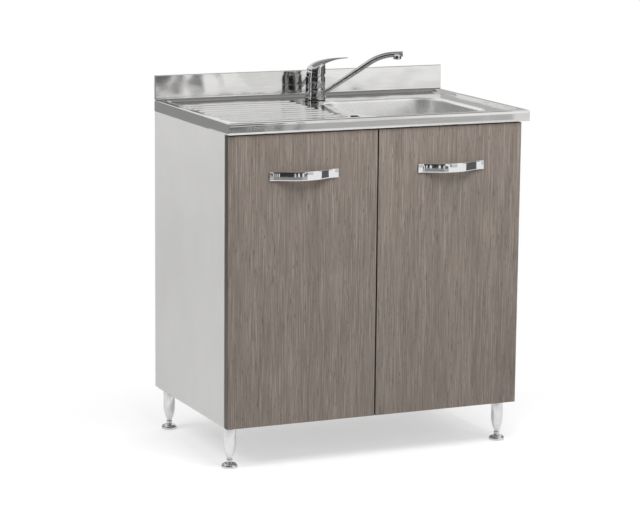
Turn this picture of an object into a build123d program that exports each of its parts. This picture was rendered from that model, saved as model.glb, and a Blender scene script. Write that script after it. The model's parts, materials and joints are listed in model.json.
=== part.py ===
from build123d import *
import os
from math import cos, radians, sin, sqrt

# A two-door sink base cabinet on four turned legs, with a stainless lay-on top:
# drainer on the left, bowl on the right, upstand at the back and a single-lever mixer tap.
# Millimetres. X runs to the right, Y to the back, Z up, and the floor is at Z zero.
# The origin lies under the middle of the whole object, handles included.

# Sink top
TOP_WIDTH = 800.0
TOP_DEPTH = 500.0
DECK_HEIGHT = 845.0
SKIRT = 28.0
SHEET = 1.2
RIM_WIDTH = 16.0
RIM_BEND = 5.0
RECESS = 6.0
RECESS_SLOPE = 8.0
RECESS_CORNER = 28.0
UPSTAND_HEIGHT = 62.0
UPSTAND_DEPTH = 10.0
UPSTAND_EDGE = 2.0
RIB_PITCH = 38.0
RIB_HEIGHT = 2.2
RIB_RADIUS = 12.0
RIB_LEFT = 34.0
RIB_FRONT = 58.0
RIB_BACK = 90.0
RIB_TO_BOWL = 58.0

# Bowl, measured at its opening, its place in the top, and the tap hole and overflow slot beside it
BOWL_WIDTH = 322.0
BOWL_DEPTH = 150.0
BOWL_CORNER = 60.0
BOWL_DRAFT = 12.0
BOWL_FLOOR_BEND = 18.0
BOWL_LIP_BEND = 8.0
BOWL_LIP_FLAT = 3.0
BOWL_RIGHT = 88.0
BOWL_BACK = 128.0
BOWL_FRONT = 50.0
TAP_HOLE_RADIUS = 17.5
TAP_BACK = 85.0
TAP_PAST_BOWL = 15.0
SLOT_LENGTH = 26.0
SLOT_WIDTH = 8.0
SLOT_TO_BOWL = 37.0
SLOT_FRONT = 61.0

# Carcass
CARCASS_BOTTOM = 106.0
LEFT_SETBACK = 0.6
RIGHT_OVERHANG = 19.4
BOARD = 18.0
RAIL_HEIGHT = 80.0
BACK_BOARD = 4.0
BACK_INSET = 15.0
GROOVE_DEPTH = 8.0
GROOVE_CLEARANCE = 0.2
SERVICE_WIDTH = 360.0
SERVICE_HEIGHT = 220.0
SERVICE_CENTRE = 403.0
BATTEN_FRONT = 36.0
BATTEN_BACK = 46.0
BATTEN_LEDGE = 30.0
BATTEN_CLEARANCE = 0.3

# Cam fittings in the ends of the bottom board and the rails
CAM_RADIUS = 7.5
CAM_DEPTH = 12.5
CAM_SETBACK = 34.0
CAM_BOLT_RADIUS = 3.5
CAM_BOLT_BITE = 11.0
CAM_INSET = 70.0
CAM_RAIL_DROP = 42.0
DRILL_CLEARANCE = 0.1

# Doors
DOOR_THICK = 18.0
DOOR_SETBACK = 5.6
DOOR_CLEARANCE = 4.0
DOOR_GAP = 3.0
DOOR_TOP_GAP = 3.0
BUMPER_RADIUS = 4.0
BUMPER_GAP = 0.3
BUMPER_INSET = 12.0

# Bow handles
HANDLE_CENTRES = 156.0
HANDLE_TAB = 24.0
HANDLE_HEIGHT = 22.0
HANDLE_THICK = 4.0
HANDLE_REACH = 28.0
HANDLE_BOW = 58.0
HANDLE_SHOULDER = 1.5
HANDLE_DROP = 100.0
HANDLE_SCREW_RADIUS = 2.0
HANDLE_SCREW_BITE = 3.0

# Concealed hinges, reduced to one pivot in each cup
HINGE_END = 95.0
HINGE_AXIS_IN = 9.0
HINGE_AXIS_DEPTH = 9.5
CUP_RADIUS = 17.5
CUP_WALL = 1.0
CUP_DEPTH = 13.0
CUP_EDGE = 4.0
CUP_LIP = 1.0
CUP_WING = 64.0
CUP_WING_WIDTH = 12.0
CUP_SCREWS = 52.0
PIN_RADIUS = 1.0
PIN_CLEARANCE = 0.05
EYE_RADIUS = 2.0
ARM_THICK = 2.5
ARM_HEIGHT = 8.0
ARM_TAIL_HEIGHT = 14.0
ARM_TAIL_START = 18.0
ARM_LENGTH = 64.0
PLATE_THICK = 3.0
PLATE_LENGTH = 44.0
PLATE_HEIGHT = 50.0
PLATE_SCREWS = 34.0

# Wood screw shared by hinge plates, leg flanges and top brackets, and the cup screws
SCREW_RADIUS = 2.0
SCREW_LENGTH = 13.0
SCREW_HEAD_RADIUS = 3.8
SCREW_HEAD = 2.2

# Angle brackets between side panels and battens
BRACKET_LEG = 26.0
BRACKET_WIDTH = 30.0
BRACKET_THICK = 2.0
BRACKET_INSET = 80.0

# Legs and levelling feet
LEG_INSET = 25.0
LEG_BACK_INSET = 35.0
LEG_RADIUS = 15.0
LEG_NECK_RADIUS = 6.5
LEG_TAPER_TOP = 60.0
LEG_FLANGE = 46.0
LEG_FLANGE_THICK = 3.0
LEG_SCREWS = 32.0
FOOT_RADIUS = 22.0
FOOT_RIM = 3.0
FOOT_HEIGHT = 22.0
FOOT_COLLAR = 4.0
FOOT_GAP = 0.3
STEM_RADIUS = 4.0
STEM_LENGTH = 40.0
STEM_CLEARANCE = 0.05

# Waste, trap and overflow
WASTE_HOLE_RADIUS = 45.0
WASTE_FLANGE_RADIUS = 56.0
WASTE_FLANGE_RISE = 2.2
WASTE_CUP_RADIUS = 40.0
WASTE_CUP_DEPTH = 43.0
WASTE_WALL = 2.0
WASTE_TAIL_RADIUS = 24.0
WASTE_TAIL_LENGTH = 30.0
GASKET_THICK = 3.0
WASTE_NUT_HEIGHT = 9.0
WASTE_NUT_RADIUS = 58.0
WASTE_NUT_SIDES = 8
THREAD_CLEARANCE = 0.1
BASKET_CLEARANCE = 1.5
BASKET_DEPTH = 38.0
BASKET_HOLES = 10
BASKET_HOLE_RADIUS = 2.5
BASKET_KNOB_RADIUS = 7.0
PIPE_RADIUS = 20.0
PIPE_WALL = 2.0
SLIP_NUT_WALL = 6.0
SLIP_NUT_HEIGHT = 18.0
SLIP_NUT_LIP = 5.0
DIP_LENGTH = 142.0
TRAP_RADIUS = 34.0
TRAP_WALL = 3.0
TRAP_HEIGHT = 84.0
TRAP_TOP_DROP = 150.0
SOCKET_RADIUS = 26.0
SOCKET_LENGTH = 14.0
BRANCH_DROP = 34.0
BRANCH_LENGTH = 28.0
BEAD_BACK = 24.0
BEAD_WIDTH = 4.0
TRAP_CUP_HEIGHT = 56.0
TRAP_CUP_LAP = 12.0
OVERFLOW_RADIUS = 8.0
OVERFLOW_BEND = 40.0
OVERFLOW_DROP = 30.0
OVERFLOW_BOX = 16.0
OVERFLOW_LIP = 4.0

# Mixer tap, with heights above the deck plate
TAP_REST_TURN = -30.0
TAP_RADIUS = 25.0
TAP_WAIST_RADIUS = 20.0
TAP_SHANK_CLEARANCE = 1.0
TAP_SHANK_LENGTH = 1.0
TAP_SEAL_THICK = 1.5
TAP_RING_TOP = 9.0
TAP_RING_LIP = 2.0
COLLAR_HEIGHT = 22.0
COLLAR_GAP = 0.4
TAP_BODY_TOP = 60.0
RUNNING_CLEARANCE = 0.06
CARTRIDGE_RADIUS = 17.5
CARTRIDGE_HEIGHT = 30.0
CARTRIDGE_RECESS = 3.0
DOME_RADIUS = 23.2
DOME_CENTRE = 66.0
DOME_GAP = 0.3
CARRIER_SHAFT_RADIUS = 6.0
CARRIER_SHAFT_LENGTH = 22.0
TRUNNION_RADIUS = 2.5
TRUNNION_BITE = 1.3
HUB_CLEARANCE = 0.4
HUB_WALL = 2.0
HUB_FRONT = 66.5
HUB_BACK = 78.0
EAR_RADIUS = 5.0
LEVER_REACH = 82.0
LEVER_CROWN = 98.0
LEVER_NECK = 92.0
LEVER_TIP = 110.0
LEVER_TIP_THICK = 3.0
LEVER_WIDTH = 22.0
LEVER_TIP_WIDTH = 13.0
SPOUT_RADIUS = 7.5
SPOUT_START = 16.0
SPOUT_KNEE_REACH = 165.0
SPOUT_KNEE_HEIGHT = 117.0
SPOUT_REACH = 221.0
SPOUT_HEIGHT = 121.0
SPOUT_BEND = 120.0
NOZZLE_RADIUS = 9.0
NOZZLE_SETBACK = 13.0
NOZZLE_DROP = 13.0
AERATOR_RADIUS = 7.5
AERATOR_HEIGHT = 6.0
AERATOR_PROUD = 1.0
INLET_RADIUS = 5.0
INLET_SPREAD = 15.0
INLET_DEPTH = 18.0
INLET_FRONT = 5.0
STUD_RADIUS = 4.0
STUD_BACK = 9.0
STUD_BITE = 14.0
STUD_LENGTH = 46.0
CLAMP_RADIUS = 26.0
CLAMP_THICK = 3.0
CLAMP_MOUTH = 26.0
STUD_NUT_RADIUS = 7.5
STUD_NUT_HEIGHT = 6.5

# Places that follow from the sizes
TOP_BACK = (TOP_DEPTH - DOOR_SETBACK + HANDLE_REACH) / 2
TOP_FRONT = TOP_BACK - TOP_DEPTH
TOP_LEFT = -TOP_WIDTH / 2
TOP_RIGHT = TOP_WIDTH / 2
PLATE_TOP = DECK_HEIGHT - RECESS
PLATE_UNDER = PLATE_TOP - SHEET
DOOR_FRONT = TOP_FRONT + DOOR_SETBACK
DOOR_BACK = DOOR_FRONT + DOOR_THICK
CARCASS_FRONT = DOOR_BACK + DOOR_CLEARANCE
CARCASS_BACK = TOP_BACK
CARCASS_LEFT = TOP_LEFT + LEFT_SETBACK
CARCASS_RIGHT = TOP_RIGHT - RIGHT_OVERHANG
CARCASS_TOP = DECK_HEIGHT - SKIRT
INNER_LEFT = CARCASS_LEFT + BOARD
INNER_RIGHT = CARCASS_RIGHT - BOARD
BACK_REAR = CARCASS_BACK - BACK_INSET
BACK_FRONT = BACK_REAR - BACK_BOARD
DOOR_WIDTH = (CARCASS_RIGHT - CARCASS_LEFT - DOOR_GAP) / 2
DOOR_TOP = CARCASS_TOP - DOOR_TOP_GAP
HANDLE_Z = DOOR_TOP - HANDLE_DROP
HINGE_LEVELS = (CARCASS_BOTTOM + HINGE_END, DOOR_TOP - HINGE_END)
HINGE_Y = DOOR_BACK - HINGE_AXIS_DEPTH
CUP_IN = CUP_RADIUS + CUP_EDGE
ARM_IN = BOARD + PLATE_THICK
BOWL_LENGTH = TOP_DEPTH - BOWL_BACK - BOWL_FRONT
BOWL_X = TOP_RIGHT - BOWL_RIGHT - BOWL_WIDTH / 2
BOWL_Y = TOP_BACK - BOWL_BACK - BOWL_LENGTH / 2
BOWL_LEFT = BOWL_X - BOWL_WIDTH / 2
BOWL_FLOOR = PLATE_TOP - BOWL_DEPTH
BOWL_LIP = BOWL_LIP_BEND + BOWL_LIP_FLAT
TAP_X = BOWL_LEFT + TAP_PAST_BOWL
TAP_Y = TOP_BACK - TAP_BACK
SLOT_X = BOWL_LEFT - SLOT_TO_BOWL
SLOT_Y = TOP_FRONT + SLOT_FRONT
RIB_LENGTH = BOWL_LEFT - RIB_TO_BOWL - TOP_LEFT - RIB_LEFT
RIB_COUNT = 1 + int((TOP_DEPTH - RIB_FRONT - RIB_BACK) / RIB_PITCH)
LEG_TOP = CARCASS_BOTTOM - LEG_FLANGE_THICK
LEG_BOTTOM = FOOT_HEIGHT + FOOT_GAP
LEG_PLACES = {
    "front_left": (CARCASS_LEFT + LEG_INSET, CARCASS_FRONT + LEG_INSET),
    "front_right": (CARCASS_RIGHT - LEG_INSET, CARCASS_FRONT + LEG_INSET),
    "back_left": (CARCASS_LEFT + LEG_INSET, CARCASS_BACK - LEG_BACK_INSET),
    "back_right": (CARCASS_RIGHT - LEG_INSET, CARCASS_BACK - LEG_BACK_INSET),
}
# Each side of the cabinet: outer face, direction towards the inside
SIDES = {"left": (CARCASS_LEFT, 1), "right": (CARCASS_RIGHT, -1)}


def block(x_from, x_to, y_from, y_to, z_from, z_to):
    """A box between two corners, with X given in either order."""
    middle = Pos((x_from + x_to) / 2, (y_from + y_to) / 2, (z_from + z_to) / 2)
    return middle * Box(abs(x_to - x_from), y_to - y_from, z_to - z_from)


def rod(start, direction, radius, length):
    """A round bar that leaves a point in a direction."""
    along = Plane(origin=start, z_dir=direction).location
    return along * Cylinder(radius, length, align=(Align.CENTER, Align.CENTER, Align.MIN))


def screw(seat, direction, radius, length):
    """A pan-head screw whose head stands on the seat and whose shank goes in along the direction."""
    back = [-step for step in direction]
    return rod(seat, direction, radius, length) + rod(seat, back, SCREW_HEAD_RADIUS, SCREW_HEAD)


def screw_holes(seats):
    """The drillings for a list of screw seats, through the clamped piece and into the board."""
    radius = SCREW_RADIUS + DRILL_CLEARANCE
    return [rod(seat, direction, radius, SCREW_LENGTH + DRILL_CLEARANCE) for seat, direction in seats]


def add_step(point, direction, length):
    """A point moved along a direction."""
    return tuple(value + length * step for value, step in zip(point, direction))


def turned(points, place=(0, 0, 0)):
    """A body of revolution from a half profile of (radius, height) corners."""
    outline = Polyline(*[(r, 0, z) for r, z in points], close=True)
    return Pos(*place) * revolve(make_face(outline), axis=Axis.Z)


def rounded_frustum(x, y, low, high, low_size, high_size, low_corner, high_corner):
    """A tapering block with rounded corners between two heights."""
    sections = [
        Pos(x, y, low) * RectangleRounded(*low_size, low_corner),
        Pos(x, y, high) * RectangleRounded(*high_size, high_corner),
    ]
    return loft(sections, ruled=True)


def save(name, *shapes):
    """Writes one node, with each of its solids kept apart."""
    solids = [solid for shape in shapes for solid in shape.solids()]
    export_step(solids[0] if len(solids) == 1 else Compound(solids), f"parts/{name}.step")


# Sink top: deck, upstand and bowl


def deck_recess(grow):
    """The tray pressed into the deck, or the same tray grown by a sheet's thickness."""
    back = TOP_BACK - UPSTAND_DEPTH - RIM_WIDTH / 2
    front = TOP_FRONT + RIM_WIDTH
    high = (TOP_WIDTH - 2 * RIM_WIDTH + 2 * grow, back - front + 2 * grow)
    low = (high[0] - 2 * RECESS_SLOPE, high[1] - 2 * RECESS_SLOPE)
    corner = RECESS_CORNER + grow
    return rounded_frustum(
        0, (back + front) / 2, PLATE_TOP - grow, DECK_HEIGHT, low, high, corner - RECESS_SLOPE, corner
    )


def bowl_lip_outline(height, grow):
    """The rounded rectangle where the bowl's lip meets the deck plate."""
    size = (BOWL_WIDTH + 2 * BOWL_LIP + 2 * grow, BOWL_LENGTH + 2 * BOWL_LIP + 2 * grow)
    return Pos(BOWL_X, BOWL_Y, height) * RectangleRounded(*size, BOWL_CORNER + BOWL_LIP + grow)


def make_deck():
    outer = block(TOP_LEFT, TOP_RIGHT, TOP_FRONT, TOP_BACK, CARCASS_TOP, DECK_HEIGHT)
    top_edges = outer.faces().sort_by(Axis.Z)[-1].edges().sort_by(Axis.Y)[:-1]
    outer = fillet(top_edges, RIM_BEND)
    hollow = block(
        TOP_LEFT + SHEET,
        TOP_RIGHT - SHEET,
        TOP_FRONT + SHEET,
        TOP_BACK - SHEET,
        CARCASS_TOP,
        DECK_HEIGHT - SHEET,
    )
    hollow_edges = hollow.faces().sort_by(Axis.Z)[-1].edges().sort_by(Axis.Y)[:-1]
    hollow = fillet(hollow_edges, RIM_BEND - SHEET)
    deck = outer - deck_recess(0) - (hollow - deck_recess(SHEET))
    ribs = []
    for index in range(RIB_COUNT):
        y = TOP_FRONT + RIB_FRONT + index * RIB_PITCH
        axis_z = PLATE_TOP + RIB_HEIGHT - RIB_RADIUS
        rib = rod((TOP_LEFT + RIB_LEFT, y, axis_z), (1, 0, 0), RIB_RADIUS, RIB_LENGTH)
        above = block(
            TOP_LEFT, TOP_RIGHT, y - RIB_RADIUS, y + RIB_RADIUS, PLATE_TOP - SHEET / 2, DECK_HEIGHT
        )
        ribs.append(rib & above)
    deck = deck + ribs
    bowl_hole = extrude(bowl_lip_outline(PLATE_UNDER - SHEET, 0), RECESS + 2 * SHEET)
    tap_hole = rod((TAP_X, TAP_Y, PLATE_UNDER - SHEET), (0, 0, 1), TAP_HOLE_RADIUS, 3 * SHEET)
    slot = extrude(
        Pos(SLOT_X, SLOT_Y, PLATE_UNDER - SHEET) * SlotOverall(SLOT_LENGTH, SLOT_WIDTH), RECESS + 2 * SHEET
    )
    return deck - [bowl_hole, tap_hole, slot]


def make_upstand():
    front = TOP_BACK - UPSTAND_DEPTH
    top = DECK_HEIGHT + UPSTAND_HEIGHT
    outer = block(TOP_LEFT, TOP_RIGHT, front, TOP_BACK, DECK_HEIGHT, top)
    outer = fillet(outer.faces().sort_by(Axis.Z)[-1].edges(), UPSTAND_EDGE)
    ends = (TOP_LEFT + SHEET, TOP_RIGHT - SHEET)
    return outer - block(*ends, front + SHEET, TOP_BACK - SHEET, DECK_HEIGHT, top - SHEET)


def bowl_form(grow, top):
    """The drawn bowl's inside, or its outside when grown by the sheet's thickness."""
    high = (BOWL_WIDTH + 2 * grow, BOWL_LENGTH + 2 * grow)
    low = (high[0] - 2 * BOWL_DRAFT, high[1] - 2 * BOWL_DRAFT)
    form = rounded_frustum(
        BOWL_X, BOWL_Y, BOWL_FLOOR - grow, top, low, high, BOWL_CORNER - BOWL_DRAFT + grow, BOWL_CORNER + grow
    )
    return fillet(form.faces().sort_by(Axis.Z)[0].edges(), BOWL_FLOOR_BEND + grow)


def make_bowl():
    flange = extrude(bowl_lip_outline(PLATE_UNDER, 0), SHEET)
    shell = bowl_form(SHEET, PLATE_TOP) + flange
    underside = [face for face in shell.faces() if abs(face.center().Z - PLATE_UNDER) < SHEET / 100]
    shell = fillet(underside[0].inner_wires()[0].edges(), BOWL_LIP_BEND - SHEET)
    shell = shell - bowl_form(0, PLATE_TOP)
    shell = fillet(shell.faces().sort_by(Axis.Z)[-1].inner_wires()[0].edges(), BOWL_LIP_BEND)
    drain = rod((BOWL_X, BOWL_Y, BOWL_FLOOR - 2 * SHEET), (0, 0, 1), WASTE_HOLE_RADIUS, 4 * SHEET)
    return shell - drain


# Cam fittings


def cam_places():
    """Each fitting: side, centre of the bolt on the panel's inner face, and the cam's drilling direction."""
    places = []
    bottom_z = CARCASS_BOTTOM + BOARD / 2
    rail_z = CARCASS_TOP - CAM_RAIL_DROP
    for outer, inward in SIDES.values():
        x = outer + inward * BOARD
        for y in (CARCASS_FRONT + CAM_INSET, BACK_FRONT - CAM_INSET):
            places.append((inward, (x, y, bottom_z), (0, 0, 1)))
        places.append((inward, (x, CARCASS_FRONT + BOARD / 2, rail_z), (0, -1, 0)))
        places.append((inward, (x, BACK_FRONT - BOARD / 2, rail_z), (0, 1, 0)))
    return places


def cam_bolt(inward, centre, grow):
    x, y, z = centre
    start = (x - inward * (CAM_BOLT_BITE + grow), y, z)
    return rod(start, (inward, 0, 0), CAM_BOLT_RADIUS + grow, CAM_BOLT_BITE + CAM_SETBACK + 2 * grow)


def cam_disc(inward, centre, drilling, grow):
    x, y, z = centre
    face = [value - step * BOARD / 2 for value, step in zip((x + inward * CAM_SETBACK, y, z), drilling)]
    return rod(face, drilling, CAM_RADIUS + grow, CAM_DEPTH + grow)


def make_cams():
    discs = []
    bolts = []
    for inward, centre, drilling in cam_places():
        discs.append(cam_disc(inward, centre, drilling, 0) - cam_bolt(inward, centre, DRILL_CLEARANCE))
        bolts.append(cam_bolt(inward, centre, 0))
    return discs, bolts


def cam_drillings():
    """Everything that the boards lose to the cam fittings."""
    cuts = []
    for inward, centre, drilling in cam_places():
        cuts.append(cam_disc(inward, centre, drilling, DRILL_CLEARANCE))
        cuts.append(cam_bolt(inward, centre, DRILL_CLEARANCE))
    return cuts


# Wood screws: hinge plates, top brackets and leg flanges


def plate_screw_seats():
    seats = []
    for outer, inward in SIDES.values():
        x = outer + inward * (BOARD + PLATE_THICK)
        y = CARCASS_FRONT + ARM_TAIL_START + PLATE_LENGTH / 2
        for level in HINGE_LEVELS:
            for step in (-PLATE_SCREWS / 2, PLATE_SCREWS / 2):
                seats.append(((x, y, level + step), (-inward, 0, 0)))
    return seats


def bracket_places():
    places = []
    for outer, inward in SIDES.values():
        for y in (CARCASS_FRONT + BRACKET_INSET, BACK_FRONT - BRACKET_INSET):
            places.append((outer + inward * BOARD, inward, y))
    return places


def bracket_screw_seats():
    seats = []
    for x, inward, y in bracket_places():
        seats.append(((x + inward * BRACKET_THICK, y, CARCASS_TOP - BRACKET_LEG / 2), (-inward, 0, 0)))
        seats.append(((x + inward * BRACKET_LEG / 2, y, CARCASS_TOP - BRACKET_THICK), (0, 0, 1)))
    return seats


def leg_screw_seats():
    seats = []
    half = LEG_SCREWS / 2
    for x, y in LEG_PLACES.values():
        for step_x in (-half, half):
            for step_y in (-half, half):
                seats.append(((x + step_x, y + step_y, LEG_TOP), (0, 0, 1)))
    return seats


def wood_screw_seats():
    return plate_screw_seats() + bracket_screw_seats() + leg_screw_seats()


# Carcass


def make_carcass():
    drillings = cam_drillings() + screw_holes(wood_screw_seats())
    groove = block(
        INNER_LEFT - GROOVE_DEPTH,
        INNER_RIGHT + GROOVE_DEPTH,
        BACK_FRONT - GROOVE_CLEARANCE,
        BACK_REAR + GROOVE_CLEARANCE,
        CARCASS_BOTTOM + BOARD,
        CARCASS_TOP,
    )
    for side, (outer, inward) in SIDES.items():
        panel = block(outer, outer + inward * BOARD, CARCASS_FRONT, CARCASS_BACK, CARCASS_BOTTOM, CARCASS_TOP)
        save(f"{side}_side_panel", panel - groove - drillings)
    bottom_top = CARCASS_BOTTOM + BOARD
    bottom = block(INNER_LEFT, INNER_RIGHT, CARCASS_FRONT, CARCASS_BACK, CARCASS_BOTTOM, bottom_top)
    save("bottom_panel", bottom - drillings)
    rail_low = CARCASS_TOP - RAIL_HEIGHT
    front_rail = block(INNER_LEFT, INNER_RIGHT, CARCASS_FRONT, CARCASS_FRONT + BOARD, rail_low, CARCASS_TOP)
    save("front_rail", front_rail - drillings)
    rear_rail = block(INNER_LEFT, INNER_RIGHT, BACK_FRONT - BOARD, BACK_FRONT, rail_low, CARCASS_TOP)
    save("rear_rail", rear_rail - drillings)
    tongue = GROOVE_DEPTH - GROOVE_CLEARANCE
    back = block(INNER_LEFT - tongue, INNER_RIGHT + tongue, BACK_FRONT, BACK_REAR, bottom_top, CARCASS_TOP)
    service_low = CARCASS_BOTTOM + SERVICE_CENTRE - SERVICE_HEIGHT / 2
    service = block(
        BOWL_X - SERVICE_WIDTH / 2,
        BOWL_X + SERVICE_WIDTH / 2,
        BACK_FRONT - BACK_BOARD,
        BACK_REAR + BACK_BOARD,
        service_low,
        service_low + SERVICE_HEIGHT,
    )
    save("back_panel", back - service)
    discs, bolts = make_cams()
    save("cam_locks", *discs)
    save("cam_bolts", *bolts)


def make_battens():
    """Four wooden strips under the sheet that carry the top on the carcass."""
    inset = SHEET + BATTEN_CLEARANCE
    front_y = TOP_FRONT + inset
    back_y = TOP_BACK - inset
    between = (INNER_LEFT + BATTEN_LEDGE, INNER_RIGHT - BATTEN_LEDGE)
    left = block(TOP_LEFT + inset, between[0], front_y, back_y, CARCASS_TOP, PLATE_UNDER)
    right = block(between[1], TOP_RIGHT - inset, front_y, back_y, CARCASS_TOP, PLATE_UNDER)
    front = block(*between, front_y, front_y + BATTEN_FRONT, CARCASS_TOP, PLATE_UNDER)
    back = block(*between, back_y - BATTEN_BACK, back_y, CARCASS_TOP, PLATE_UNDER)
    holes = screw_holes(bracket_screw_seats())
    return [strip - holes for strip in (left, right, front, back)]


def make_bracket(x, inward, y):
    half = BRACKET_WIDTH / 2
    upright = block(x, x + inward * BRACKET_THICK, y - half, y + half, CARCASS_TOP - BRACKET_LEG, CARCASS_TOP)
    shelf = block(x, x + inward * BRACKET_LEG, y - half, y + half, CARCASS_TOP - BRACKET_THICK, CARCASS_TOP)
    return upright + shelf - screw_holes(bracket_screw_seats())


# Legs and feet


def make_leg(x, y):
    half = LEG_FLANGE / 2
    profile = make_face(
        Wire([
            Line((STEM_RADIUS + STEM_CLEARANCE, 0, LEG_BOTTOM), (LEG_NECK_RADIUS, 0, LEG_BOTTOM)),
            Spline(
                (LEG_NECK_RADIUS, 0, LEG_BOTTOM),
                (LEG_RADIUS, 0, LEG_TAPER_TOP),
                tangents=[(0.25, 0, 1), (0, 0, 1)],
            ),
            Line((LEG_RADIUS, 0, LEG_TAPER_TOP), (LEG_RADIUS, 0, LEG_TOP)),
            Line((LEG_RADIUS, 0, LEG_TOP), (STEM_RADIUS + STEM_CLEARANCE, 0, LEG_TOP)),
            Line((STEM_RADIUS + STEM_CLEARANCE, 0, LEG_TOP), (STEM_RADIUS + STEM_CLEARANCE, 0, LEG_BOTTOM)),
        ])
    )
    flange = block(x - half, x + half, y - half, y + half, LEG_TOP, CARCASS_BOTTOM)
    return Pos(x, y, 0) * revolve(profile, axis=Axis.Z) + (flange - screw_holes(leg_screw_seats()))


def make_foot(x, y):
    collar_low = FOOT_HEIGHT - FOOT_COLLAR
    profile = make_face(
        Wire([
            Line((0, 0, 0), (FOOT_RADIUS, 0, 0)),
            Line((FOOT_RADIUS, 0, 0), (FOOT_RADIUS, 0, FOOT_RIM)),
            Spline(
                (FOOT_RADIUS, 0, FOOT_RIM),
                (LEG_NECK_RADIUS, 0, collar_low),
                tangents=[(-1, 0, 0.4), (-0.3, 0, 1)],
            ),
            Line((LEG_NECK_RADIUS, 0, collar_low), (LEG_NECK_RADIUS, 0, FOOT_HEIGHT)),
            Line((LEG_NECK_RADIUS, 0, FOOT_HEIGHT), (STEM_RADIUS, 0, FOOT_HEIGHT)),
            Line((STEM_RADIUS, 0, FOOT_HEIGHT), (STEM_RADIUS, 0, FOOT_HEIGHT + STEM_LENGTH)),
            Line((STEM_RADIUS, 0, FOOT_HEIGHT + STEM_LENGTH), (0, 0, FOOT_HEIGHT + STEM_LENGTH)),
            Line((0, 0, FOOT_HEIGHT + STEM_LENGTH), (0, 0, 0)),
        ])
    )
    return Pos(x, y, 0) * revolve(profile, axis=Axis.Z)


# Doors, handles and hinges


def cup_screw_seats(outer, inward):
    x = outer + inward * CUP_IN
    seats = []
    for level in HINGE_LEVELS:
        for step in (-CUP_SCREWS / 2, CUP_SCREWS / 2):
            seats.append(((x, DOOR_BACK + CUP_LIP, level + step), (0, -1, 0)))
    return seats


def handle_screw_seats(outer, inward):
    x = outer + inward * DOOR_WIDTH / 2
    half = HANDLE_CENTRES / 2
    return [((x + step, DOOR_BACK, HANDLE_Z), (0, -1, 0)) for step in (-half, half)]


def make_door(outer, inward):
    door = block(
        outer, outer + inward * DOOR_WIDTH, DOOR_FRONT, DOOR_BACK, CARCASS_BOTTOM, DOOR_TOP
    )
    cuts = []
    for level in HINGE_LEVELS:
        bottom = (outer + inward * CUP_IN, DOOR_BACK - CUP_DEPTH, level)
        cuts.append(rod(bottom, (0, 1, 0), CUP_RADIUS + DRILL_CLEARANCE, 2 * CUP_DEPTH))
    cuts += screw_holes(cup_screw_seats(outer, inward))
    for seat, direction in handle_screw_seats(outer, inward):
        cuts.append(rod(seat, direction, HANDLE_SCREW_RADIUS + DRILL_CLEARANCE, 2 * DOOR_THICK))
    return door - cuts


def make_handle(outer, inward):
    """A strap handle: flat end tabs on the door, long slopes off them and a nearly flat bow between."""
    tab_end = (HANDLE_CENTRES + HANDLE_TAB) / 2
    tab_start = (HANDLE_CENTRES - HANDLE_TAB) / 2
    bow = HANDLE_BOW / 2
    face = HANDLE_REACH - HANDLE_SHOULDER
    inner = HANDLE_THICK
    shift = HANDLE_THICK / 2
    outline = Wire([
        Line((tab_end, 0), (tab_end, HANDLE_THICK)),
        Line((tab_end, HANDLE_THICK), (tab_start, HANDLE_THICK)),
        Spline((tab_start, HANDLE_THICK), (bow, face), tangents=[(-1, 0), (-1, 0.35)]),
        ThreePointArc((bow, face), (0, HANDLE_REACH), (-bow, face)),
        Spline((-bow, face), (-tab_start, HANDLE_THICK), tangents=[(-1, -0.35), (-1, 0)]),
        Line((-tab_start, HANDLE_THICK), (-tab_end, HANDLE_THICK)),
        Line((-tab_end, HANDLE_THICK), (-tab_end, 0)),
        Line((-tab_end, 0), (-tab_start + shift, 0)),
        Spline((-tab_start + shift, 0), (-bow + shift, face - inner), tangents=[(1, 0), (1, 0.35)]),
        ThreePointArc((-bow + shift, face - inner), (0, HANDLE_REACH - inner), (bow - shift, face - inner)),
        Spline((bow - shift, face - inner), (tab_start - shift, 0), tangents=[(1, -0.35), (1, 0)]),
        Line((tab_start - shift, 0), (tab_end, 0)),
    ])
    x = outer + inward * DOOR_WIDTH / 2
    lying = Plane(origin=(x, DOOR_FRONT, HANDLE_Z - HANDLE_HEIGHT / 2), x_dir=(-1, 0, 0), z_dir=(0, 0, 1))
    strap = extrude(lying.location * make_face(outline), HANDLE_HEIGHT)
    holes = []
    for (screw_x, _, screw_z), _ in handle_screw_seats(outer, inward):
        start = (screw_x, DOOR_FRONT, screw_z)
        holes.append(
            rod(start, (0, -1, 0), HANDLE_SCREW_RADIUS + DRILL_CLEARANCE, HANDLE_SCREW_BITE + DRILL_CLEARANCE)
        )
    return strap - holes


def hinge_axis(outer, inward, level):
    return outer + inward * HINGE_AXIS_IN, HINGE_Y, level


def pin_length():
    """The pin spans the inside of the cup and ends in its wall."""
    inside = CUP_RADIUS - CUP_WALL
    off_centre = CUP_IN - HINGE_AXIS_IN
    return 2 * sqrt(inside**2 - off_centre**2) + CUP_WALL


def make_pin(outer, inward, level, grow):
    x, y, z = hinge_axis(outer, inward, level)
    length = pin_length() + 2 * grow
    return rod((x, y, z - length / 2), (0, 0, 1), PIN_RADIUS + grow, length)


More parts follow.
